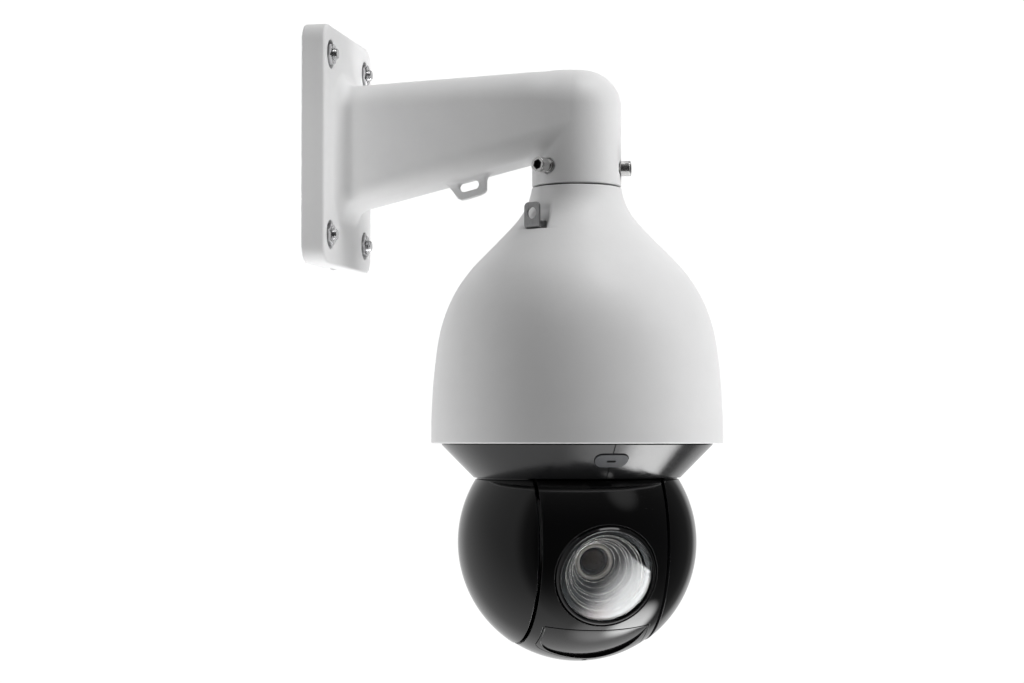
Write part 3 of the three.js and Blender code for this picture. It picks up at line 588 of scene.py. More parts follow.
def casting(x, y, z):
    """Signed distance of the bracket: plate, arm, elbow and lug in one casting."""
    lo, hi = x.min(), x.max()
    rho = np.where(x <= 166, np.abs(y), hyp(x - 166, y))
    d = np.maximum(arm_section(rho, x, z, 0.0, 0.0), 6 - x)
    if lo < 40:
        q = box2(y, z, 59, 76, 12)
        r = np.where(x > 7.5, 1.5, 0.4)
        plate = meet(q, np.abs(x - 7.5) - 7.5, r)
        d = r_union(d, plate, 10.0)
        d = np.where(x < 6, plate, d)
    if hi > 120:
        rc = hyp(x - 166, y)
        w = rc + 24 - 28.6
        h1, h2 = z - (48.7 - 24), None
        top = hyp(np.maximum(w, 0), np.maximum(h1, 0)) + np.minimum(np.maximum(w, h1), 0) - 24
        low = meet(rc - 28.6, -25.9 - z, 0.9)
        collar = np.where(z > 10, top, np.maximum(low, z - 40))
        R = 6.5 * np.clip((166 - x) / 23, 0, 1) + 1e-3
        d = r_union(d, collar, R)
    if lo < 118 and hi > 70:
        lug = meet(poly_sdf(x, z, LUG), np.abs(y) - 2.5, 0.7)
        d = r_union(d, lug, 5.0)
        ca, sa = math.cos(LUG_ANGLE), math.sin(LUG_ANGLE)
        sx, sz = (x - 95.9) * ca + (z + 23.7) * sa, -(x - 95.9) * sa + (z + 23.7) * ca
        slot = np.maximum(box2(sx, sz, 6.5, 3.0, 2.9), np.abs(y) - 6)
        d = r_cut(d, slot, 0.6)
    # the hollow for the lead
    inner = arm_section(rho, x, z, 4.3, 4.5)
    if hi > 120:
        rc = hyp(x - 166, y)
        w, h1 = rc + 19.6 - 24.4, z - (44.4 - 19.6)
        bore = hyp(np.maximum(w, 0), np.maximum(h1, 0)) + np.minimum(np.maximum(w, h1), 0) - 19.6
        inner = np.minimum(inner, bore)
    d = r_cut(d, inner, 0.7)
    if lo < 20:
        chan = np.maximum(np.maximum(np.abs(y) - 9, x - 5), np.maximum(z + 24, -86 - z))
        d = r_cut(d, chan, 0.5)
        for hy_, hz in HOLES:
            rr = hyp(y - hy_, z - hz)
            d = r_cut(d, rr - 4.5, 0.4)
            d = r_cut(d, np.maximum(rr - 9.0, 7 - x), 0.55)
    if hi > 130:
        for p in SCREWS:
            o, t = outward(p), tangent(p)
            a = (x - 166) * o[0] + y * o[1]
            s = hyp((x - 166) * t[0] + y * t[1], z + 14.6)
            d = r_cut(d, np.maximum(s - 3.3, 15 - a), 0.3)
            d = r_cut(d, np.maximum(s - 4.9, 26.6 - a), 0.45)
    return d


def bands(lo, hi, coarse, fine):
    """Grid lines from lo to hi, closer together in the given bands."""
    out, x = [lo], lo
    while x < hi:
        step = coarse
        for a, b, s in fine:
            if a - coarse <= x < b:
                step = min(step, s)
        x += step
        out.append(x)
    return np.array(out)


def surface_net(fn, xs, ys, zs, rounds=3):
    nx, ny, nz = len(xs), len(ys), len(zs)
    D = np.empty((nx, ny, nz), np.float32)
    YY, ZZ = np.meshgrid(ys, zs, indexing="ij")
    for i0 in range(0, nx, 12):
        i1 = min(i0 + 12, nx)
        X = np.broadcast_to(xs[i0:i1, None, None], (i1 - i0, ny, nz))
        Y = np.broadcast_to(YY[None], X.shape)
        Z = np.broadcast_to(ZZ[None], X.shape)
        D[i0:i1] = fn(X, Y, Z)
    ins = D < 0
    cnt = np.zeros((nx - 1, ny - 1, nz - 1), np.int8)
    for a in (0, 1):
        for b_ in (0, 1):
            for c in (0, 1):
                cnt += ins[a:nx - 1 + a, b_:ny - 1 + b_, c:nz - 1 + c]
    act = np.argwhere((cnt > 0) & (cnt < 8))
    idx = np.full(cnt.shape, -1, np.int32)
    idx[act[:, 0], act[:, 1], act[:, 2]] = np.arange(len(act))
    grid = [xs, ys, zs]
    acc = np.zeros((len(act), 3))
    num = np.zeros(len(act))
    for ax in range(3):
        o1, o2 = [k for k in range(3) if k != ax]
        for a in (0, 1):
            for b_ in (0, 1):
                p = act.copy()
                p[:, o1] += a
                p[:, o2] += b_
                q = p.copy()
                q[:, ax] += 1
                d0 = D[p[:, 0], p[:, 1], p[:, 2]].astype(float)
                d1 = D[q[:, 0], q[:, 1], q[:, 2]].astype(float)
                m = (d0 < 0) != (d1 < 0)
                t = np.where(m, d0 / np.where(m, d0 - d1, 1), 0)
                P = np.stack([grid[k][p[:, k]] for k in range(3)], 1)
                P[:, ax] += t * (grid[ax][q[:, ax]] - grid[ax][p[:, ax]])
                acc += P * m[:, None]
                num += m
    V = acc / num[:, None]
    lo = np.stack([grid[k][act[:, k]] for k in range(3)], 1)
    hi = np.stack([grid[k][act[:, k] + 1] for k in range(3)], 1)
    faces = []
    for ax in range(3):
        o1, o2 = (ax + 1) % 3, (ax + 2) % 3
        sl0 = [slice(None)] * 3
        sl1 = [slice(None)] * 3
        sl0[ax], sl1[ax] = slice(0, -1), slice(1, None)
        ch = ins[tuple(sl0)] != ins[tuple(sl1)]
        e = np.argwhere(ch)
        ok = (e[:, o1] > 0) & (e[:, o2] > 0) & (e[:, o1] < D.shape[o1] - 1) & (e[:, o2] < D.shape[o2] - 1)
        e = e[ok]
        flip = ins[e[:, 0], e[:, 1], e[:, 2]]
        quad = []
        for a, b_ in ((-1, -1), (0, -1), (0, 0), (-1, 0)):
            c = e.copy()
            c[:, o1] += a
            c[:, o2] += b_
            quad.append(idx[c[:, 0], c[:, 1], c[:, 2]])
        quad = np.stack(quad, 1)
        quad = np.where(flip[:, None], quad, quad[:, ::-1])
        faces.append(quad)
    F = np.concatenate(faces)
    F = F[(F >= 0).all(1)]

    def grad(P, h=0.02):
        g = np.zeros_like(P)
        for k in range(3):
            e = np.zeros(3)
            e[k] = h
            a, c = P + e, P - e
            g[:, k] = (piece(fn, a) - piece(fn, c)) / (2 * h)
        return g

    def piece(fn, P):
        return fn(P[:, 0], P[:, 1], P[:, 2])

    size = hi - lo
    for r in range(rounds + 1):
        if r:  # even out the points, then bring them back to the surface
            s = np.zeros_like(V)
            n = np.zeros(len(V))
            for a, b_ in ((0, 1), (1, 2), (2, 3), (3, 0)):
                np.add.at(s, F[:, a], V[F[:, b_]])
                np.add.at(s, F[:, b_], V[F[:, a]])
                np.add.at(n, F[:, a], 1)
                np.add.at(n, F[:, b_], 1)
            V = V * 0.6 + 0.4 * s / np.maximum(n, 1)[:, None]
        for _ in range(2):
            g = grad(V)
            d = piece(fn, V)
            step = (d / np.maximum((g * g).sum(1), 0.25))[:, None] * g
            m = np.linalg.norm(step, axis=1, keepdims=True)
            V = V - step * np.minimum(1, 0.8 / np.maximum(m, 1e-9))
        V = np.clip(V, lo - size * 0.35, hi + size * 0.35)
    return V, unit(grad(V, 0.03)), F


def build_bracket():
    xs = bands(-1.2, 198.0, 1.25, [(6, 18, 0.8), (82, 110, 0.7), (134, 198, 0.85)])
    ys = bands(-61.0, 61.0, 1.25, [(-54, -32, 0.75), (-32, -14, 0.9), (-4, 4, 0.7), (14, 32, 0.9), (32, 54, 0.75)])
    zs = bands(-78.0, 78.5, 1.25, [(-69, -46, 0.75), (-36, -6, 0.75), (46, 69, 0.75)])
    V, N, F = surface_net(casting, xs, ys, zs)
    print("bracket", len(V), len(F))
    b = Builder()
    b.v, b.n, b.count = [V], [N], len(V)
    b.f = F.tolist()
    b.m = [0] * len(F)
    return b.make("bracket_casting", "root", [M_WHITE], ["wall_bracket"])


build_bracket()


# ------------------------------------------------------------------ wall fasteners
def thread_rows(b, O, ex, ey, ez, z0, z1, r, pitch, depth, cols=40, per=10, mat=0, chamfer=1.0):
    """A threaded bar: a helical V profile, tapered at its end, closed by a flat disc."""
    n = int((z1 - z0) / pitch * per) + 1
    z = np.linspace(z0, z1, n)
    a = np.linspace(0, 2 * PI, cols, endpoint=False)
    A, Z = np.meshgrid(a, z)
    ph = (Z / pitch - A / (2 * PI)) % 1.0
    tri = np.clip(1.25 * (1 - np.abs(2 * ph - 1)) - 0.125, 0, 1)
    Rr = r - depth * tri
    Rr = np.minimum(Rr, r - chamfer + np.maximum(z1 - Z, 0) * 1.0)
    ex, ey, ez, O = (np.array(k, float) for k in (ex, ey, ez, O))
    V = O + (Rr * np.cos(A))[..., None] * ex + (Rr * np.sin(A))[..., None] * ey + Z[..., None] * ez
    du = np.roll(V, -1, 1) - np.roll(V, 1, 1)
    dv = np.gradient(V, axis=0)
    N = unit(np.cross(du, dv))
    ring = np.cos(A)[..., None] * ex + np.sin(A)[..., None] * ey
    N = np.where((N * ring).sum(-1, keepdims=True) < 0, -N, N)
    V, N = V.reshape(-1, 3), N.reshape(-1, 3)
    faces = [[i * cols + j, i * cols + (j + 1) % cols, (i + 1) * cols + (j + 1) % cols, (i + 1) * cols + j] for i in range(n - 1) for j in range(cols)]
    b.add(V, N, fix_orientation(V, N, faces), mat)
    for row, s in ((0, -1), (n - 1, 1)):
        cap = V[row * cols:(row + 1) * cols]
        c = cap.mean(0, keepdims=True)
        vv = np.concatenate([cap, c])
        nn = np.repeat((ez * s)[None], len(vv), 0)
        b.add(vv, nn, fix_orientation(vv, nn, [[j, (j + 1) % cols, cols] for j in range(cols)]), mat)


NUT_POS = {1: (-43, 57.5), 2: (43, 57.5), 3: (-43, -57.5), 4: (43, -57.5)}
for k, (py, pz) in NUT_POS.items():
    O = (0.0, py, pz)
    b = Builder()
    thread_rows(b, O, (0, 1, 0), (0, 0, 1), (1, 0, 0), 0.6, 19.4, 3.95, 1.25, 0.62, cols=36, per=8)
    b.make(f"anchor_stud_{k}", "root", [M_ZINC], [f"wall_stud_{k}"])
    mp = plane_map(O, (0, 1, 0), (0, 0, 1), (1, 0, 0))
    b = Builder()
    slab(b, hexagon(7.45, 0.35, math.radians(12 * k)), [circle(4.05, 40)], mp,
         lambda s, t: 17.0 - np.maximum(hyp(s, t) - 6.25, 0) * 0.60, lambda s, t: 10.8 + np.maximum(hyp(s, t) - 6.4, 0) * 0.5, 0.12, step=0.8, steps=2)
    b.make(f"hex_nut_{k}", "root", [M_ZINC], [f"wall_nut_{k}"])
    b = Builder()
    slab(b, circle(7.95, 72), [circle(4.3, 40)], mp, 8.9, 7.3, 0.22, steps=3)
    b.make(f"flat_washer_{k}", "root", [M_ZINC_DARK], [f"wall_washer_{k}"])
    # the split spring washer between them
    b = Builder()
    n, g0 = 60, math.radians(40 * k)
    sec, sn = rprofile([(4.35, 0), (7.0, 0), (7.0, 1.45), (4.35, 1.45)], 0.18, closed=True, seg=3)
    ang = np.linspace(0.05, 2 * PI - 0.05, n)
    zz = 8.95 + 0.28 * ang / (2 * PI)
    rg = np.stack([np.zeros(n), np.cos(ang + g0), np.sin(ang + g0)], 1)
    V = np.array(O) + sec[None, :, :1] * rg[:, None] + (sec[None, :, 1:] + zz[:, None, None]) * np.array([1, 0, 0])
    N = sn[None, :, :1] * rg[:, None] + sn[None, :, 1:] * np.array([1.0, 0, 0])
    c = len(sec)
    faces = [[i * c + j, i * c + (j + 1) % c, (i + 1) * c + (j + 1) % c, (i + 1) * c + j] for i in range(n - 1) for j in range(c)]
    VV, NN = V.reshape(-1, 3), N.reshape(-1, 3)
    b.add(VV, NN, fix_orientation(VV, NN, faces))
    for i, s in ((0, -1), (n - 1, 1)):
        t = np.array([0, -rg[i][2], rg[i][1]]) * s
        vv = V[i]
        nn = np.repeat(t[None], c, 0)
        b.add(vv, nn, fix_orientation(vv, nn, [list(range(c))]))
    b.make(f"spring_washer_{k}", "root", [M_ZINC], [])


# ------------------------------------------------------------------ socket screws
def socket_screw(name, O, ex, ey, ez, head_r, head_h, hex_r, depth, body, node, mat, shank=(), teeth=0, plate=None):
    """Head with a hexagon socket. O is the seat of the head, ez points out of the head."""
    b = Builder()
    mp = plane_map(O, ex, ey, ez)
    n = 96
    a = np.linspace(0, 2 * PI, n, endpoint=False)
    rr = head_r - (0.11 * (0.5 + 0.5 * np.cos(a * teeth)) if teeth else 0)
    out = np.stack([rr * np.cos(a), rr * np.sin(a)], 1)
    # the hexagon socket's walls (hole_mat) and its floor take the second material, near-black: painted shade in the
    # recess
    slab(b, out, [hexagon(hex_r, 0.15, 0.26)], mp, head_h, head_h - depth, min(0.45, head_h * 0.15), 0.02, steps=4, hole_mat=1)
    b2 = circle(head_r * 0.985, 48)
    slab(b, b2, [], mp, head_h - depth + 0.02, 0.0, 0.02, 0.3, steps=3, mat=1, side_mat=0)
    for r0, z0, z1, e in shank:
        lathe(b, rprofile([(0.0, z0), (r0, z0), (r0, z1), (0.0, z1)], e), O, ex, ey, ez, cols=48)
    if plate:
        slab(b, circle(plate[0], 64), [], mp, plate[1], plate[2], 0.15, steps=3, mat=1)
    return b.make(name, body, mat, [node])


for k, (deg, reach) in enumerate(((90, 34.9), (-30, 39.0), (-150, 34.9)), 1):
    p = math.radians(deg)
    o, t = outward(p), tangent(p)
    O = AXIS + o * (reach - 6.0) + np.array([0, 0, -14.6])
    back = reach - 6.0
    socket_screw(f"clamp_screw_{k}", O, t, (0, 0, 1), o, 4.9, 6.0, 2.9, 3.0, "root", f"collar_screw_{k}", [M_STEEL, M_DARK_MOULDING_AND_SHADE],
                 shank=[(3.05, 23.0 - back, 0.2, 0.2), (4.1, 26.9 - back, 28.6 - back, 0.25), (3.7, 28.9 - back, 30.0 - back, 0.25)] if reach > 36 else [(3.05, 23.0 - back, 0.2, 0.2)], teeth=32)

# ------------------------------------------------------------------ gasket in the joint
b = Builder()
lathe(b, rprofile([(24.8, -26.65), (27.2, -26.65), (27.35, -26.4), (27.2, -26.12), (24.8, -26.12)], 0.1, closed=True), cols=120, close=True)
b.make("neck_gasket", "root", [M_RUBBER], ["neck_seal"])

# ------------------------------------------------------------------ bell
BELL = [(163.1, 28.7), (161.3, 29.0), (157.5, 29.7), (153.6, 31.0), (149.8, 32.8), (146, 35.0), (142.1, 37.9), (138.3, 41.3), (134.5, 44.8), (130.6, 48.6), (126.8, 52.3),
        (123, 56.1), (119.1, 59.9), (115.3, 63.7), (111.5, 67.2), (107.6, 70.3), (103.8, 73.1), (100, 75.6), (96.1, 77.9), (92.3, 79.9), (88.5, 81.6), (84.6, 83.3), (80.8, 84.6),
        (77, 85.8), (73.1, 86.9), (69.3, 87.8), (65.5, 88.5), (61.6, 89.1), (57.8, 89.7), (54, 90.1), (50.1, 90.6), (46.3, 91.0), (42.5, 91.3), (38.6, 91.7), (34.8, 92.0),
        (31, 92.2), (27.1, 92.4), (23.3, 92.6), (19.5, 92.8), (11.8, 93.0), (6, 93.02), (0, 93.0)]


def smin(a, b, k):
    h = np.clip(0.5 + 0.5 * (b - a) / k, 0, 1)
    return b * (1 - h) + a * h - k * h * (1 - h)


def build_bell():
    # the profile is smoothed, so that small steps in the numbers don't show as rings
    pr = np.array([(r, h - 190.0) for h, r in BELL])
    q = spline_through(pr, 900)
    s = np.concatenate([[0], np.cumsum(np.linalg.norm(np.diff(q, axis=0), axis=1))])
    g = np.exp(-0.5 * (np.arange(-60, 61) / 18.0) ** 2)
    g /= g.sum()
    qp = np.concatenate([2 * q[0] - q[60:0:-1], q, 2 * q[-1] - q[-2:-62:-1]])
    q = np.stack([np.convolve(qp[:, k], g, "valid") for k in (0, 1)], 1)
    q[0], q[-1] = pr[0], pr[-1]
    s = np.concatenate([[0], np.cumsum(np.linalg.norm(np.diff(q, axis=0), axis=1))])
    zfun = lambda z: np.interp(-z, -q[:, 1], q[:, 0])
    z_seat = -55.8
    rows = np.concatenate([np.arange(-27.6, -33, -0.9), np.arange(-33, -55.6, -0.62), [-55.65], [-55.8, -55.8], [-55.95], np.arange(-56.6, -66, -1.2), np.arange(-66, -120, -1.6), np.arange(-120, -188.2, -3.2)])
    seat_i = int(np.argmax(rows == -55.8))
    fine = np.radians(np.arange(-52, -8, 0.45))
    coarse = np.radians(np.concatenate([np.arange(-8, 308, 2.2)]))
    psi = np.concatenate([fine, coarse])
    PS, ZZ = np.meshgrid(psi, rows)
    base = zfun(ZZ)
    th = PS - math.radians(-30)
    back = np.where(np.cos(th) > 0.2, 32.2 / np.maximum(np.cos(th), 0.2), 1e3)
    tt = np.abs(base * np.sin(th))
    wall = np.clip((tt - 4.0) / 9.0, 0, 1)
    wall = wall * wall * (3 - 2 * wall)
    pocket = np.where(np.cos(th) > 0, back + wall * 13, 1e3)
    cut = smin(base, pocket, 4.0)
    fade = np.clip((base - 30.5) / 4.0, 0, 1)
    cut = base + (np.minimum(base, cut) - base) * fade * fade * (3 - 2 * fade)
    low = np.arange(len(rows)) > seat_i
    R = np.where(low[:, None], base, cut)
    V = np.stack([166 + R * np.sin(PS), -R * np.cos(PS), ZZ], -1)
    dth = (np.roll(V, -1, 1) - np.roll(V, 1, 1))
    dz = np.gradient(V, axis=0)
    # the two rows at the seat share a height: take each one's slope from its own side
    dz[seat_i] = V[seat_i] - V[seat_i - 1]
    dz[seat_i + 1] = V[seat_i + 2] - V[seat_i + 1]
    N = unit(np.cross(dth, dz))
    ringv = np.stack([np.sin(PS), -np.cos(PS), np.zeros_like(PS)], -1)
    N = np.where((N * ringv).sum(-1, keepdims=True) < 0, -N, N)
    n, c = PS.shape
    b = Builder()
    Vf, Nf = V.reshape(-1, 3), N.reshape(-1, 3)
    faces = []
    for i in range(n - 1):
        if i == seat_i:
            continue
        for j in range(c):
            faces.append([i * c + j, i * c + (j + 1) % c, (i + 1) * c + (j + 1) % c, (i + 1) * c + j])
    b.add(Vf, Nf, fix_orientation(Vf, Nf, faces))
    # the flat seat
    sv = np.concatenate([V[seat_i], V[seat_i + 1]])
    sn = np.repeat(np.array([[0, 0, 1.0]]), len(sv), 0)
    sf = [[j, (j + 1) % c, c + (j + 1) % c, c + j] for j in range(c) if max(np.linalg.norm(sv[j] - sv[c + j]), np.linalg.norm(sv[(j + 1) % c] - sv[c + (j + 1) % c])) > 0.02]
    b.add(sv, sn, fix_orientation(sv, sn, sf))
    # top edge, bottom rim and inside wall
    def strip(prof_fn):
        P, Nn = prof_fn
        ring = np.stack([np.sin(psi), -np.cos(psi), np.zeros_like(psi)], -1)
        VV = AXIS + P[:, 0][:, None, None] * ring[None] + P[:, 1][:, None, None] * UP
        NN = Nn[:, 0][:, None, None] * ring[None] + Nn[:, 1][:, None, None] * UP
        m = len(P)
        VV, NN = VV.reshape(-1, 3), NN.reshape(-1, 3)
        ff = [[i * c + j, i * c + (j + 1) % c, (i + 1) * c + (j + 1) % c, (i + 1) * c + j] for i in range(m - 1) for j in range(c)]
        b.add(VV, NN, fix_orientation(VV, NN, ff))
    r_top, r_bot = float(R[0, -1]), float(R[-1, -1])
    strip(rprofile([(r_top, -27.6), (28.75, -26.9), (24.5, -26.9), (24.5, -58.0), (44.0, -60.5), (60.0, -76.0), (74.0, -95.0), (84.0, -115.0), (88.6, -140.0), (90.0, -188.0), (90.3, -190.0), (93.0, -190.0), (r_bot, rows[-1])],
                                                                                                                          [0, 0.45, 0.5, 2, 6, 8, 8, 8, 8, 1, 0.4, 1.0, 0], seg=5))
    return b.make("bell_shell", "root", [M_WHITE], ["bell_housing"])


build_bell()


# ------------------------------------------------------------------ safety tab, a bent strip
def build_tab():
    p = math.radians(-30)
    o, t = outward(p), tangent(p)
    # centre line in (radius, height): foot out to the bend, then up
    rb = 2.1
    foot0, leg_r, zf, ztop = 30.9, 43.85, -54.72, -38.85
    Lf = leg_r - rb - foot0
    Lb = rb * PI / 2
    Ll = ztop - (zf + rb)

    def line(s):
        s = np.asarray(s, float)
        r = np.where(s < Lf, foot0 + s, np.where(s < Lf + Lb, leg_r - rb + rb * np.sin(np.clip((s - Lf) / rb, 0, PI / 2)), leg_r))
        z = np.where(s < Lf, zf, np.where(s < Lf + Lb, zf + rb - rb * np.cos(np.clip((s - Lf) / rb, 0, PI / 2)), zf + rb + (s - Lf - Lb)))
        a = np.clip((s - Lf) / rb, 0, PI / 2)
        return r, z, np.cos(a), np.sin(a)     # point, and direction of travel

    def mp(s, w, h):
        r, z, dr, dz = line(s)
        # h grows to the outside of the bend
        r2, z2 = r + dz * h, z - dr * h
        return AXIS + np.outer(r2, o) - np.outer(w, t) + np.outer(z2, UP)

    L = Lf + Lb + Ll
    out = resample(rounded([(0, -6.2), (L, -6.2), (L, 6.2), (0, 6.2)], [1, 3, 3, 1], 8), 0.55)
    sh = Lf + Lb + (-45.7 - (zf + rb))
    b = Builder()
    slab(b, out, [circle(3.65, 56, (sh, 0))], mp, 0.73, -0.73, 0.22, step=0.7, steps=3)
    b.make("rope_tab", "root", [M_STEEL_DULL], ["safety_tab"])
    O = AXIS + o * 35.5 + np.array([0, 0, -53.95])
    socket_screw("rope_tab_screw", O, o, t, (0, 0, 1), 3.45, 4.1, 1.75, 2.0, "root", "safety_tab_screw", [M_STEEL_DULL, M_DARK_MOULDING_AND_SHADE], shank=[(1.7, -6.0, 0.2, 0.1)], teeth=24)


build_tab()

# ------------------------------------------------------------------ skirt
SK = [(64.8, -211.5), (65.8, -211.55), (86.3, -190.7), (86.3, -188.6), (89.35, -188.6), (89.35, -186.5), (84.1, -186.5), (84.1, -190.5), (64.8, -209.9)]
SKR = [0.5, 0.9, 0.7, 0.3, 0.3, 0.3, 0.3, 0.5, 0.5]
# lathe angles run from +x towards -y: angle = 90 deg - psi ... so the seam planes are at these angles
for name, node, a0 in (("skirt_half_left", "skirt_left_half", PAN - PI), ("skirt_half_right", "skirt_right_half", PAN)):
    b = Builder()
    g = 0.32 / 86.0
    lathe(b, rprofile(SK, SKR, closed=True, seg=4), ex=(0, -1, 0), ey=(1, 0, 0), cols=150, start=a0 + g, stop=a0 + PI - g, close=True, caps=True)
    b.make(name, "root", [M_SKIRT], [node])


def build_cap(name, node, psi0):
    """A rubber cap over the seam, laid on the cone."""
    # along the cone: v grows upwards; the cone goes through (65.7,-211.6) and (86.3,-190.6)
    d = unit(np.array([86.3 - 65.8, -190.7 + 211.55]))
    nrm = np.array([d[1], -d[0]])
    mid = np.array([65.8, -211.55]) + d * ((-200.2 + 211.55) / d[1])

    def mp(s, v, h):
        rz = mid + np.outer(v, d) + np.outer(h, nrm)
        r0 = mid[0]
        psi = psi0 + s / r0
        return AXIS + (rz[:, 0] * np.sin(psi))[:, None] * np.array([1, 0, 0]) - (rz[:, 0] * np.cos(psi))[:, None] * np.array([0, 1, 0]) + rz[:, 1:] * UP

    out = resample(rounded([(-10.3, -5.3), (10.3, -5.3), (10.3, 5.3), (-10.3, 5.3)], [5.0, 5.3, 4.4, 4.6], 10), 0.6)
    slot = resample(rounded([(-2.8, -0.8), (2.4, -0.8), (2.4, 0.5), (-2.8, 0.5)], 0.6, 5), 0.4)
    b = Builder()
    # the slot's walls and floor take the near-black second material: painted shade in the slot
    slab(b, out, [slot], mp, 0.8, 0.05, 0.3, 0.1, step=1.2, steps=4, hole_mat=1)
    slab(b, slot * 1.02, [], mp, 0.2, 0.06, 0.02, steps=1, mat=1)
    # a near-black rim just outside the cap's edge: a painted shadow of the gap round the cap
    slab(b, resample(rounded([(-10.75, -5.75), (10.75, -5.75), (10.75, 5.75), (-10.75, 5.75)], [5.4, 5.7, 4.8, 5.0], 10), 0.6), [], mp, 0.2, 0.03, 0.08, 0.05, step=1.2, steps=2, mat=1)
    b.make(name, "root", [M_CAP, M_DARK_MOULDING_AND_SHADE], [node])


build_cap("seam_cap_front", "skirt_cap_front", PAN)
build_cap("seam_cap_rear", "skirt_cap_rear", PAN + PI)


# ------------------------------------------------------------------ the ball: side covers and tilting module
def sphere_map(A, e1, R, centre=CENTRE):
    A, e1 = unit(np.array(A, float)), unit(np.array(e1, float))
    e2 = np.cross(A, e1)

    def mp(s, t, h):
        s, t, h = (np.asarray(k, float) for k in (s, t, h))
        q = hyp(s, t)
        a = q / R
        k = np.where(q > 1e-9, np.sin(a) / np.maximum(q, 1e-9), 1 / R)
        d = np.cos(a)[:, None] * A + (k * s)[:, None] * e1 + (k * t)[:, None] * e2
        return centre + d * (R + h)[:, None]

    def inv(P):
        d = unit(np.asarray(P, float) - centre)
        c = np.clip(d @ A, -1, 1)
        a = np.arccos(c)
        k = np.where(a > 1e-9, a / np.maximum(np.sin(a), 1e-9), 1.0) * R
        return np.stack([k * (d @ e1), k * (d @ e2)], 1)

    return mp, inv


def soften(lp, r):
    """Rounds the corners of a dense closed loop by about r."""
    keep = [0]
    n = len(lp)
    dirs = unit(np.roll(lp, -1, 0) - lp)
    turn = np.arccos(np.clip((dirs * np.roll(dirs, 1, 0)).sum(1), -1, 1))
    corners = [i for i in range(n) if turn[i] > 0.35]
    s = np.concatenate([[0], np.cumsum(np.linalg.norm(np.roll(lp, -1, 0) - lp, axis=1))])
    total = s[-1]
    pts = np.concatenate([lp, lp[:1]])

    def at(x):
        x = x % total
        i = min(int(np.searchsorted(s, x, side="right")) - 1, n - 1)
        f = (x - s[i]) / max(s[i + 1] - s[i], 1e-9)
        return pts[i] * (1 - f) + pts[i + 1] * f

    out = []
    used = np.zeros(n, bool)
    for i in range(n):
        near = [c for c in corners if min(abs(s[i] - s[c]), total - abs(s[i] - s[c])) < r * 1.02]
        if i in corners:
            a, b_, c = at(s[i] - r), lp[i], at(s[i] + r)
            for k in np.linspace(0, 1, 7):
                out.append(a * (1 - k) ** 2 + 2 * b_ * k * (1 - k) + c * k * k)
        elif not near:
            out.append(lp[i])
    return np.array(out)


def tilt_pt(side, fwd, up):
    side, fwd, up = np.broadcast_arrays(np.asarray(side, float), np.asarray(fwd, float), np.asarray(up, float))
    return CENTRE + side[:, None] * U + fwd[:, None] * LENS + up[:, None] * LUP


def pan_pt(side, fwd, up):
    side, fwd, up = np.broadcast_arrays(np.asarray(side, float), np.asarray(fwd, float), np.asarray(up, float))
    return CENTRE + side[:, None] * U + fwd[:, None] * F0 + up[:, None] * UP


# side covers
for name, node, sg in (("ball_side_left", "left_cover", -1.0), ("ball_side_right", "right_cover", 1.0)):
    R = 76.0
    mp, inv = sphere_map(U * sg, UP, R)
    GU = 41.9
    rho = math.sqrt(R * R - GU ** 2)
    b0 = math.asin(40.0 / rho)
    arc = np.linspace(b0, -PI - b0, 150)[:-1]
    p1 = pan_pt(np.full(len(arc), sg * GU), rho * np.cos(arc), rho * np.sin(arc))
    yy = np.linspace(-rho * math.cos(b0), rho * math.cos(b0), 60)[:-1]
    p2 = pan_pt(sg * np.sqrt(np.maximum(R * R - 1600 - yy ** 2, 0)), yy, np.full(len(yy), 40.0))
    lp = soften(inv(np.concatenate([p1, p2])), 0.9)
    b = Builder()
    slab(b, lp, [], mp, 0.0, -2.5, 0.22, 0.1, step=2.6, step_bot=6.0, steps=3, side_mat=1)
    # the lid, a D-shaped plate, and the rim on it
    def dee(r, u0):
        q = math.acos(u0 / r)
        aa = np.linspace(-q, q, 60)
        return resample(np.stack([r * np.cos(aa), r * np.sin(aa)], 1), 2.0)
    lid = plane_map(CENTRE, U * sg, np.cross(UP, U * sg), UP)
    slab(b, dee(64.35, GU + 0.3), [], lid, 40.0, 37.6, 0.25, 0.1, steps=3, mat=1)
    slab(b, dee(63.7, GU + 1.0), [], lid, 43.2, 39.9, 0.3, 0.05, steps=3, mat=1)
    b.make(name, "pan", [M_BLACK, M_BLACK_EDGE], [node])

# tilting shells
RS = 75.5
SW = 39.8
rs = math.sqrt(RS * RS - SW * SW)


def shell_loop(sign, gap):
    g = math.asin(gap / rs)
    be = np.linspace(PI / 2 - g, -PI / 2 + g, 70)[:-1]
    a = tilt_pt(np.full(len(be), SW), sign * rs * np.cos(be), rs * np.sin(be))
    xx = np.linspace(SW, -SW, 30)[:-1]
    bb = tilt_pt(xx, np.full(len(xx), sign * gap), -np.sqrt(RS * RS - xx ** 2 - gap * gap))
    c = tilt_pt(np.full(len(be), -SW), sign * rs * np.cos(be[::-1]), rs * np.sin(be[::-1]))
    d = tilt_pt(-xx, np.full(len(xx), sign * gap), np.sqrt(RS * RS - xx ** 2 - gap * gap))
    return np.concatenate([a, bb, c, d])


def window_loop(side, top, fwd, n=24):
    """The outline of the infrared window on the sphere: its top edge at height -top, its bottom edge where the sphere is fwd ahead."""
    xx = np.linspace(-side, side, n)[:-1]
    t = tilt_pt(xx, np.sqrt(RS * RS - top * top - xx ** 2), np.full(len(xx), -top))
    h0 = math.sqrt(RS * RS - top * top - side * side)
    hh = np.linspace(h0, fwd, 12)[:-1]
    r = tilt_pt(np.full(len(hh), side), hh, -np.sqrt(RS * RS - side * side - hh ** 2))
    bt = tilt_pt(-xx, np.full(len(xx), fwd), -np.sqrt(RS * RS - fwd * fwd - xx ** 2))
    l = tilt_pt(np.full(len(hh), -side), hh[::-1], -np.sqrt(RS * RS - side * side - hh[::-1] ** 2))
    return np.concatenate([t, r, bt, l])


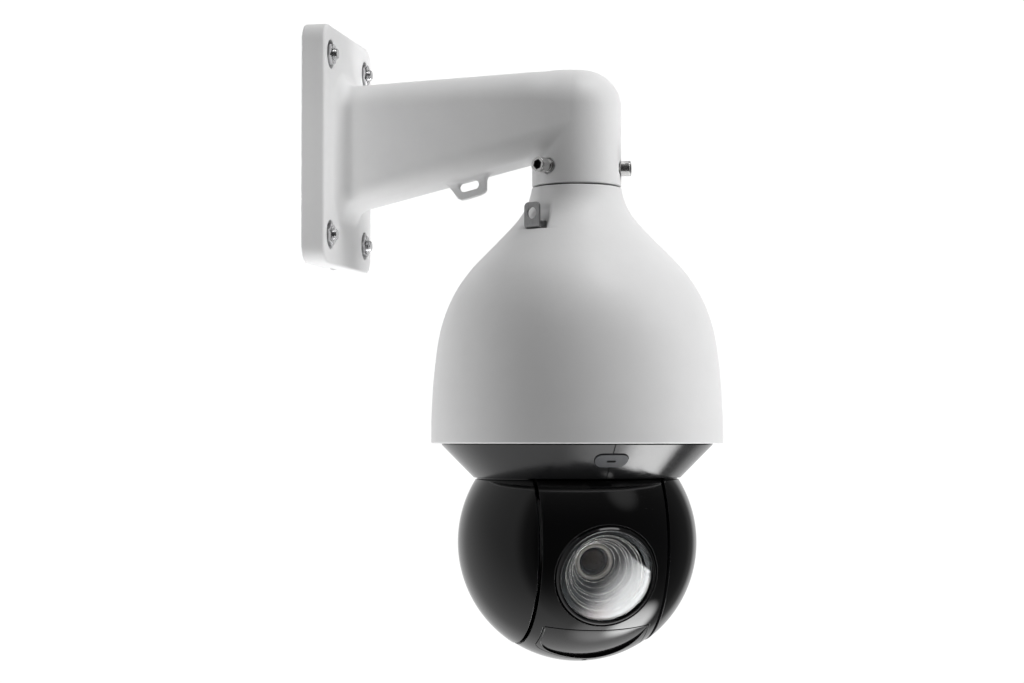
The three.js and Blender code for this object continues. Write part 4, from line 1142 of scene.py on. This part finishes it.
mpL, invL = sphere_map(LENS, U, RS)
b = Builder()
aL = math.asin(32.45 / RS) * RS
screw_dir = unit(LENS * math.cos(math.radians(62.1)) - LUP * math.sin(math.radians(62.1)))
sc = invL((CENTRE + RS * screw_dir)[None])[0]
slab(b, soften(invL(shell_loop(1.0, 0.12)), 0.8), [circle(aL, 160), soften(invL(window_loop(34.2, 35.7, 38.7)), 0.7), circle(2.0, 24, sc)], mpL, 0.0, -2.2, 0.42, 0.1, step=2.6, step_bot=6.0, steps=4, side_mat=1)
b.make("module_shell_front", "tilt", [M_BLACK, M_BLACK_EDGE], ["module_front_cover"])
mpR, invR = sphere_map(-LENS, -U, RS)
b = Builder()
slab(b, soften(invR(shell_loop(-1.0, 0.12)), 0.8), [], mpR, 0.0, -2.2, 0.3, 0.1, step=3.0, step_bot=6.0, steps=4, side_mat=1)
b.make("module_shell_rear", "tilt", [M_BLACK, M_BLACK_EDGE], ["module_rear_cover"])

# infrared window: a frame flush with the sphere and a panel that sinks away towards its lower edge
win = soften(invL(window_loop(33.85, 36.05, 39.05)), 0.6)
win_lo, win_hi = win.min(0), win.max(0)
x0, x1 = -32.9, 32.9
d_top = 37.0
xx = np.linspace(x0, x1, 30)
top_edge = tilt_pt(xx, np.sqrt(RS * RS - d_top ** 2 - xx ** 2), np.full(len(xx), -d_top))
tq = np.linspace(0, 1, 40)
# the lower edge: down the left side, round the corner, then along a rising arc to the right corner
ctrl = np.array([[x0, 57.6], [x0 + 0.1, 50.5], [x0 + 1.0, 45.6], [x0 + 4.8, 41.9], [-18.0, 40.6], [-4.0, 40.3], [10.0, 41.5], [20.5, 45.0], [28.0, 50.2], [x1, 56.8]])
low = spline_through(ctrl, 60)[1:-1]
low_pts = tilt_pt(low[:, 0], low[:, 1], -np.sqrt(np.maximum(RS * RS - low[:, 0] ** 2 - low[:, 1] ** 2, 0)))
dl = soften(invL(np.concatenate([top_edge[::-1], low_pts])), 0.9)
b = Builder()
slab(b, win, [dl], mpL, 0.0, -2.4, 0.28, 0.1, step=2.0, step_bot=6.0, steps=3)
dmin, dmax = dl[:, 1].min(), dl[:, 1].max()


def sink(s, t):
    """How deep the panel lies: level with the sphere along the top, deepest along the lower right."""
    q = np.clip((dmax - t) / (dmax - dmin), 0, 1)
    k = 0.35 + 0.65 * np.clip((s - x0) / (x1 - x0), 0, 1)
    return -0.12 - 3.0 * k * q ** 1.15


slab(b, dl - loop_normals(dl if area2(dl) > 0 else dl[::-1])[0] * 0 if area2(dl) > 0 else dl[::-1], [], mpL, sink, lambda s, t: sink(s, t) - 1.2, 0.06, 0.05, step=2.0, step_bot=6.0, steps=2, mat=1)
b.make("ir_window_panel", "tilt", [M_IRWIN, M_IRPANEL], ["ir_window"])

# the small screw under the window
b = Builder()
eS = unit(np.cross(screw_dir, U))
O = CENTRE + screw_dir * (RS - 1.9)
lathe(b, rprofile([(0, -3.0), (1.1, -3.0), (1.1, 0.0), (1.75, 0.0), (1.75, 1.0), (1.0, 1.35), (0.75, 0.7), (0, 0.7)], 0.12), O, U, -eS if np.cross(U, -eS) @ screw_dir > 0 else eS, screw_dir, cols=32)
b.make("cover_fixing_screw", "tilt", [M_SCREW_DARK], ["cover_screw"])


# ------------------------------------------------------------------ lens opening
def lens_lathe(name, body, mats, profile, radii, node, cols=128, seg=4, parts=()):
    b = Builder()
    lathe(b, rprofile(profile, radii, closed=True, seg=seg), CENTRE, U, LUP, LENS, cols=cols, close=True)
    for pr, rd, mt in parts:
        lathe(b, rprofile(pr, rd, closed=True, seg=seg), CENTRE, U, LUP, LENS, cols=cols, close=True, mat=mt)
    return b.make(name, body, mats, [node] if node else [])


lens_lathe("bezel_ring", "tilt", [M_BLACK, M_BLACK_EDGE, M_ZINC_DARK],
           [(25.6, 62.1), (31.75, 62.1), (31.75, 68.0), (31.2, 69.2), (30.3, 70.3), (29.6, 70.55), (29.05, 70.1), (28.85, 66.3), (25.6, 66.3)],
           [0.2, 0.3, 0.4, 0.5, 0.3, 0.25, 0.2, 0.15, 0.2], "lens_bezel", cols=180,
           parts=[([(28.5, 68.62), (28.8, 68.62), (28.8, 69.0), (28.5, 69.0)], [0.08, 0.08, 0.12, 0.12], 2)])
lens_lathe("lens_inner_barrel", "tilt", [M_BARREL, M_RING],
           [(12.3, 20), (25.0, 20), (25.0, 61.8), (24.6, 62.6), (24.0, 62.6), (23.0, 61.5), (23.0, 57.0), (22.1, 56.4), (20.0, 56.4), (20.0, 52.6), (19.0, 51.9), (17.0, 51.9),
            (17.0, 47.4), (16.2, 46.9), (14.5, 46.9), (14.5, 42.9), (13.8, 42.4), (12.3, 42.4)][0:18],
           [0.2, 0.4, 0.3, 0.25, 0.25, 0.3, 0.3, 0.3, 0.28, 0.3, 0.3, 0.28, 0.3, 0.25, 0.25, 0.3, 0.25, 0.2], "lens_barrel", cols=160,
           parts=[([(r0 - 0.02, z0 - 0.42), (r0 + 0.32, z0 - 0.42), (r0 + 0.32, z0 + 0.02), (r0 - 0.02, z0 + 0.02)], [0.1, 0.1, 0.14, 0.16], 1)
                  for r0, z0 in ((24.0, 62.7), (22.6, 60.4), (20.0, 56.5), (18.4, 52.1), (17.0, 52.0), (14.5, 47.0), (12.3, 42.5))])


def glass_disc(name, body, mt, r, h0, h1, bulge, node, bulge_bot=0.0):
    """A lens element: a front with some curve, ground edge."""
    n = 26
    rr = np.linspace(0, r - 0.3, n)
    front = [(x, h1 - bulge * (x / r) ** 2) for x in rr[::-1]]
    backp = [(x, h0 + bulge_bot * (x / r) ** 2) for x in rr]
    prof = backp + [(r, h0 + bulge_bot + 0.25), (r, h1 - bulge - 0.25)] + front
    P = np.array(prof)
    d = np.gradient(P, axis=0)
    N = unit(np.stack([d[:, 1], -d[:, 0]], 1))
    m = len(rr)
    N[:m] = unit(np.stack([2 * bulge_bot * rr / r ** 2, np.full(m, -1.0)], 1))
    N[-m:] = unit(np.stack([2 * bulge * rr[::-1] / r ** 2, np.full(m, 1.0)], 1))
    b = Builder()
    lathe(b, (P, N), CENTRE, U, LUP, LENS, cols=120)
    ob = b.make(name, body, [mt], [node])
    ob.visible_shadow = False
    return ob


WIN_BULGE = 0.75
glass_disc("lens_window_glass", "tilt", M_GLASS, 28.7, 67.3, 69.4, WIN_BULGE, "lens_window", -0.75)
glass_disc("front_element_glass", "tilt", M_FRONT, 22.6, 58.6, 62.2, 1.6, "lens_front_element", 1.2)

# the zoom group: a turned ring with a glass in it
b = Builder()
lathe(b, rprofile([(9.2, 33.2), (11.8, 33.2), (11.8, 40.4), (11.0, 41.3), (10.1, 41.45), (9.35, 40.9), (9.2, 39.6)], [0.3, 0.3, 0.4, 0.4, 0.3, 0.3, 0.3], closed=True, seg=4), CENTRE, U, LUP, LENS, cols=128, close=True)
lathe(b, rprofile([(0, 33.4), (9.1, 33.4), (9.1, 38.2), (7.9, 38.2), (6.6, 36.6), (0, 35.4)], [0, 0.2, 0.3, 0.5, 1.2, 0], seg=5), CENTRE, U, LUP, LENS, cols=96, mat=1)
lathe(b, rprofile([(6.9, 37.2), (8.3, 37.2), (8.3, 38.9), (7.9, 39.3), (7.3, 39.0), (6.9, 38.4)], [0.1, 0.2, 0.25, 0.25, 0.2, 0.2], closed=True, seg=4), CENTRE, U, LUP, LENS, cols=96, close=True, mat=2)
b.make("zoom_ring", "zoom", [M_CHAMPAGNE, M_GUIDE, M_BARREL], ["zoom_group"])

# ------------------------------------------------------------------ CAD nodes that stay: a procedural finish for each
KEEP = {
    "neck_adapter": M_ALU, "cable_gland": M_BARREL, "chassis_plate": M_ALU, "main_board": M_BOARD, "pan_motor": M_BARREL, "pan_motor_pulley": M_ALU, "pan_belt": M_RUBBER,
    "pan_bearing": M_STEEL, "slip_ring": M_DARK_MOULDING_AND_SHADE, "pan_yoke": M_ALU, "pan_pulley": M_BARREL, "tilt_bearing_left": M_STEEL, "tilt_bearing_right": M_STEEL, "tilt_motor": M_BARREL,
    "tilt_motor_pulley": M_ALU, "tilt_belt": M_RUBBER, "tilt_axle_left": M_STEEL, "tilt_axle_right": M_STEEL, "tilt_pulley": M_BARREL, "module_frame": M_ZINC_DARK,
    "focus_group": M_ALU, "camera_block": M_BARREL, "ir_cut_filter": M_FRONT, "sensor_board": M_BOARD, "ir_board": M_BOARD,
}
for n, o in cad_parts.items():
    mt = KEEP.get(n)
    if mt is None:
        continue
    if not o.material_slots:
        o.data.materials.append(mt)
    for sl in o.material_slots:
        sl.material = mt


# ------------------------------------------------------------------ floor, light and camera
def stage_mat(name, col, glow):
    mt, nt, bs = new_mat(name)
    c = np.array(col)
    nt.links.new(ramp(nt, noise(nt, 2.5, 3, 0.5), [(0.3, tuple(c * 0.985)), (0.7, tuple(c))]), bs.inputs["Base Color"])
    bs.inputs["Roughness"].default_value = 0.85
    bs.inputs["Emission Color"].default_value = (1, 1, 1, 1)
    bs.inputs["Emission Strength"].default_value = glow
    return mt


FLOOR_Z = -1.0
a = np.linspace(0, 2 * PI, 96, endpoint=False)
me = bpy.data.meshes.new("floor")
rings = [0.001, 1.0, 2.0, 3.2]
vv, ff = [], []
for r in rings:
    vv += [(0.166 + r * math.cos(k), r * math.sin(k), FLOOR_Z) for k in a]
for i in range(len(rings) - 1):
    ff += [[i * 96 + j, i * 96 + (j + 1) % 96, (i + 1) * 96 + (j + 1) % 96, (i + 1) * 96 + j] for j in range(96)]
ff.append(list(range(96)))
me.from_pydata(vv, [], ff)
me.materials.append(stage_mat("floor_pale", (0.80, 0.80, 0.80), 0.72))
floor = bpy.data.objects.new("floor", me)
scene.collection.objects.link(floor)
floor.visible_diffuse = False
floor.visible_glossy = False
floor.visible_transmission = False
floor.visible_shadow = False

world = bpy.data.worlds.new("studio")
scene.world = world
world.use_nodes = True
wt = world.node_tree
wt.nodes.clear()
out = wt.nodes.new("ShaderNodeOutputWorld")
tc = wt.nodes.new("ShaderNodeTexCoord")
bg_cam = wt.nodes.new("ShaderNodeBackground")
bg_cam.inputs["Color"].default_value = (1, 1, 1, 1)
bg_cam.inputs["Strength"].default_value = 1.05
bg = wt.nodes.new("ShaderNodeBackground")
mix = wt.nodes.new("ShaderNodeMixShader")
lp_ = wt.nodes.new("ShaderNodeLightPath")
wt.links.new(lp_.outputs["Is Camera Ray"], mix.inputs["Fac"])
wt.links.new(bg.outputs[0], mix.inputs[1])
wt.links.new(bg_cam.outputs[0], mix.inputs[2])
wt.links.new(mix.outputs[0], out.inputs["Surface"])
nrm = wt.nodes.new("ShaderNodeVectorMath")
nrm.operation = "NORMALIZE"
wt.links.new(tc.outputs["Generated"], nrm.inputs[0])


ZENITH = 0.30


def lobe(direction, power, amount):
    d = wt.nodes.new("ShaderNodeVectorMath")
    d.operation = "DOT_PRODUCT"
    wt.links.new(nrm.outputs[0], d.inputs[0])
    d.inputs[1].default_value = Vector(direction).normalized()
    m = wt.nodes.new("ShaderNodeMath")
    m.operation = "MAXIMUM"
    wt.links.new(d.outputs["Value"], m.inputs[0])
    m.inputs[1].default_value = 0.0
    p = wt.nodes.new("ShaderNodeMath")
    p.operation = "POWER"
    wt.links.new(m.outputs[0], p.inputs[0])
    p.inputs[1].default_value = power
    k = wt.nodes.new("ShaderNodeMath")
    k.operation = "MULTIPLY"
    wt.links.new(p.outputs[0], k.inputs[0])
    k.inputs[1].default_value = amount
    return k.outputs[0]


def view_dir(deg, up=0.0):
    """A horizontal direction from the camera's side: 0 is towards the camera, 90 to its right."""
    a = math.radians(deg)
    yaw = math.radians(10.9)
    toward = Vector((math.sin(yaw), -math.cos(yaw), 0))
    right = Vector((math.cos(yaw), math.sin(yaw), 0))
    v = toward * math.cos(a) + right * math.sin(a) + Vector((0, 0, up))
    return v.normalized()


def vdot(v):
    d = wt.nodes.new("ShaderNodeVectorMath")
    d.operation = "DOT_PRODUCT"
    wt.links.new(nrm.outputs[0], d.inputs[0])
    d.inputs[1].default_value = v
    return d.outputs["Value"]


def wmath(op, a, b=None):
    m = wt.nodes.new("ShaderNodeMath")
    m.operation = op
    for i, x in enumerate((a, b)):
        if x is None:
            continue
        if hasattr(x, "is_linked") or hasattr(x, "node"):
            wt.links.new(x, m.inputs[i])
        else:
            m.inputs[i].default_value = x
    return m.outputs[0]


# brightness round the object by azimuth: 0 is towards the camera, 90 to its right
AZ = [(-180, 1.0), (-152, 0.85), (-130, 0.58), (-66, 0.50), (-50, 0.12), (-38, 0.035), (20, 0.03), (80, 0.05), (128, 0.08), (143, 0.22), (154, 0.95), (180, 1.0)]
az = wmath("ARCTAN2", vdot(view_dir(90)), vdot(view_dir(0)))
az = wmath("ADD", wmath("DIVIDE", az, 2 * PI), 0.5)
cr = wt.nodes.new("ShaderNodeValToRGB")
cr.color_ramp.interpolation = "EASE"
el = cr.color_ramp.elements
for i, (deg, v) in enumerate(AZ):
    pos = (deg + 180) / 360
    e = el[i] if i < 2 else el.new(pos)
    if i == 1:
        e = el[1]
    e.position = pos
    e.color = (v, v, v, 1)
wt.links.new(az, cr.inputs["Fac"])
def spot(direction, inner, outer, amount):
    """A soft round patch in the surroundings: full within inner degrees of a direction, nothing past outer."""
    m = wt.nodes.new("ShaderNodeMapRange")
    m.interpolation_type = "SMOOTHSTEP"
    wt.links.new(vdot(Vector(direction).normalized()), m.inputs["Value"])
    m.inputs["From Min"].default_value = math.cos(math.radians(outer))
    m.inputs["From Max"].default_value = math.cos(math.radians(inner))
    m.inputs["To Min"].default_value = 0.0
    m.inputs["To Max"].default_value = amount
    return m.outputs["Result"]


def aim(az_, el_):
    return view_dir(az_) * math.cos(math.radians(el_)) + Vector((0, 0, math.sin(math.radians(el_))))


side = wmath("MULTIPLY", cr.outputs["Color"], wmath("SUBTRACT", 1.0, wmath("POWER", wmath("ABSOLUTE", vdot((0, 0, 1))), 5.0)))
sky = [side, lobe((0, 0, 1), 3.0, ZENITH), lobe((0, 0, -1), 5.0, 0.95), spot(aim(119, -53), 7, 20, 8.2), spot(aim(112, -70), 0, 27, 2.2), spot(aim(57, 43), 0, 18, 0.6), spot(aim(-130, -45), 15, 65, 0.22)]
total = sky[0]
for x_ in sky[1:]:
    total = wmath("ADD", total, x_)
wt.links.new(wmath("ADD", total, 0.015), bg.inputs["Strength"])


def area(name, direction, dist, size, watts, target=(0.17, 0, -0.15), size_y=None, spread=180):
    li = bpy.data.lights.new(name, "AREA")
    li.shape = "RECTANGLE"
    li.size = size
    li.size_y = size_y or size
    li.energy = watts
    li.spread = math.radians(spread)
    ob = bpy.data.objects.new(name, li)
    t = Vector(target)
    ob.location = t + Vector(direction).normalized() * dist
    ob.rotation_euler = (t - ob.location).to_track_quat("-Z", "Y").to_euler()
    ob.visible_camera = False
    scene.collection.objects.link(ob)
    return ob


def watts(radiance, sx, sy=None):
    """The power of a rectangular area light for a wanted radiance."""
    return radiance * PI * sx * (sy or sx)


def from_view(r, u, t):
    """right, up, towards the camera."""
    return view_dir(90) * r + Vector((0, 0, 1)) * u + view_dir(0) * t


def soft(name, az_, el_, dist, size, level, target=(0.17, 0, -0.12), spread=180, gloss=True):
    """An area light with a given brightness (irradiance over pi, face on) at its target."""
    omega = size * size / (dist * dist)
    ob = area(name, aim(az_, el_), dist, size, watts(level * PI / omega, size), target=target, spread=spread)
    ob.visible_glossy = gloss
    return ob


soft("right", 74, 29, 1.6, 0.6, 0.61, gloss=False)
soft("top", 45, 66, 1.6, 0.9, 0.34)
soft("fill_left", -108, -18, 1.4, 0.8, 0.36, gloss=False)
soft("fill_low", -40, -66, 1.0, 0.7, 0.32, gloss=False)
soft("fill_low_right", 95, -25, 1.3, 0.7, 0.22, gloss=False)
soft("plate_fill", -28, -6, 0.9, 0.2, 0.006, target=(-0.03, -0.06, -0.01), spread=20, gloss=False)

cam_d = bpy.data.cameras.new("camera")
cam_d.sensor_width = 36
cam_d.lens = 79.80
cam_d.shift_y = 0.03
cam_d.clip_start = 0.01
cam_d.clip_end = 50
cam = bpy.data.objects.new("camera", cam_d)
cam.location = (0.3995, -1.4317, -0.190)
cam.rotation_euler = (math.radians(90 + 1.80), 0, math.radians(10.9))
scene.collection.objects.link(cam)
scene.camera = cam
scene.view_settings.view_transform = "Standard"
scene.view_settings.look = "None"


# the card that the lens window mirrors: bright low on the right, fading to the left, with a slanted upper edge
def build_card():
    eye = np.array([399.5, -1431.7, -190.0])
    yaw = math.radians(10.9)
    right = np.array([math.cos(yaw), math.sin(yaw), 0])
    fwd = np.array([-math.sin(yaw), math.cos(yaw), 0])
    mid = CENTRE + LENS * 68.6
    n = 61
    lim = 46.0
    g = np.linspace(-lim, lim, n)
    X, Y = np.meshgrid(g, g)           # px from the window's centre, right and down
    k = (mid - eye) @ fwd / 2270.0
    pts, glow = [], []
    for x, y in zip(X.ravel(), Y.ravel()):
        target = mid + right * x * k - UP * y * k
        ray = unit(target - eye)
        # where it meets the window's plane
        s = ((mid - eye) @ LENS) / (ray @ LENS)
        hit = eye + ray * s
        q = hit - mid
        a_, b_ = q @ U, q @ LUP
        nn = unit(LENS + (U * a_ + LUP * b_) * (2 * WIN_BULGE / 28.7 ** 2))
        rf = ray - 2 * (ray @ nn) * nn
        pts.append(hit + rf * 780.0)
        diag = (x + 0.85 * y) / 1.31
        v = np.clip((diag + 4) / 42, 0, 1)
        v = v * v * (3 - 2 * v) * 1.0 + 0.04 * np.clip((diag + 30) / 30, 0, 1)
        edge = np.clip((y - (0.7726 * x - 39.8)) / 1.6, 0, 1)
        fall = np.clip((lim - max(abs(x), abs(y))) / 5.0, 0, 1)
        # a weak tint of the coating: cooler on the left, warmer along the bottom
        warm = np.clip((y - 18) / 20, 0, 1) * np.clip((12 - x) / 24, 0, 1)
        cool = np.clip((-x - 8) / 24, 0, 1) * (1 - warm)
        g_ = v * edge * fall
        glow.append((g_ * (1 + 0.03 * warm - 0.12 * cool), g_ * (1 - 0.05 * warm), g_ * (1 - 0.05 * warm + 0.06 * cool), 1.0))
    me = bpy.data.meshes.new("reflector_card")
    ff = [[j * n + i, j * n + i + 1, (j + 1) * n + i + 1, (j + 1) * n + i] for j in range(n - 1) for i in range(n - 1)]
    me.from_pydata((np.array(pts) * 0.001).tolist(), [], ff)
    at = me.attributes.new("glow", "FLOAT_COLOR", "POINT")
    at.data.foreach_set("color", np.array(glow, np.float32).ravel())
    mt = bpy.data.materials.new("reflector_card")
    mt.use_nodes = True
    nt = mt.node_tree
    nt.nodes.clear()
    o = nt.nodes.new("ShaderNodeOutputMaterial")
    em = nt.nodes.new("ShaderNodeEmission")
    ta = nt.nodes.new("ShaderNodeAttribute")
    ta.attribute_name = "glow"
    em.inputs["Strength"].default_value = 12.5
    nt.links.new(ta.outputs["Color"], em.inputs["Color"])
    tr = nt.nodes.new("ShaderNodeBsdfTransparent")
    adn = nt.nodes.new("ShaderNodeAddShader")
    nt.links.new(em.outputs[0], adn.inputs[0])
    nt.links.new(tr.outputs[0], adn.inputs[1])
    nt.links.new(adn.outputs[0], o.inputs["Surface"])
    me.materials.append(mt)
    ob = bpy.data.objects.new("reflector_card", me)
    ob.visible_camera = False
    ob.visible_diffuse = False
    ob.visible_shadow = False
    scene.collection.objects.link(ob)


build_card()

bpy.context.view_layer.update()
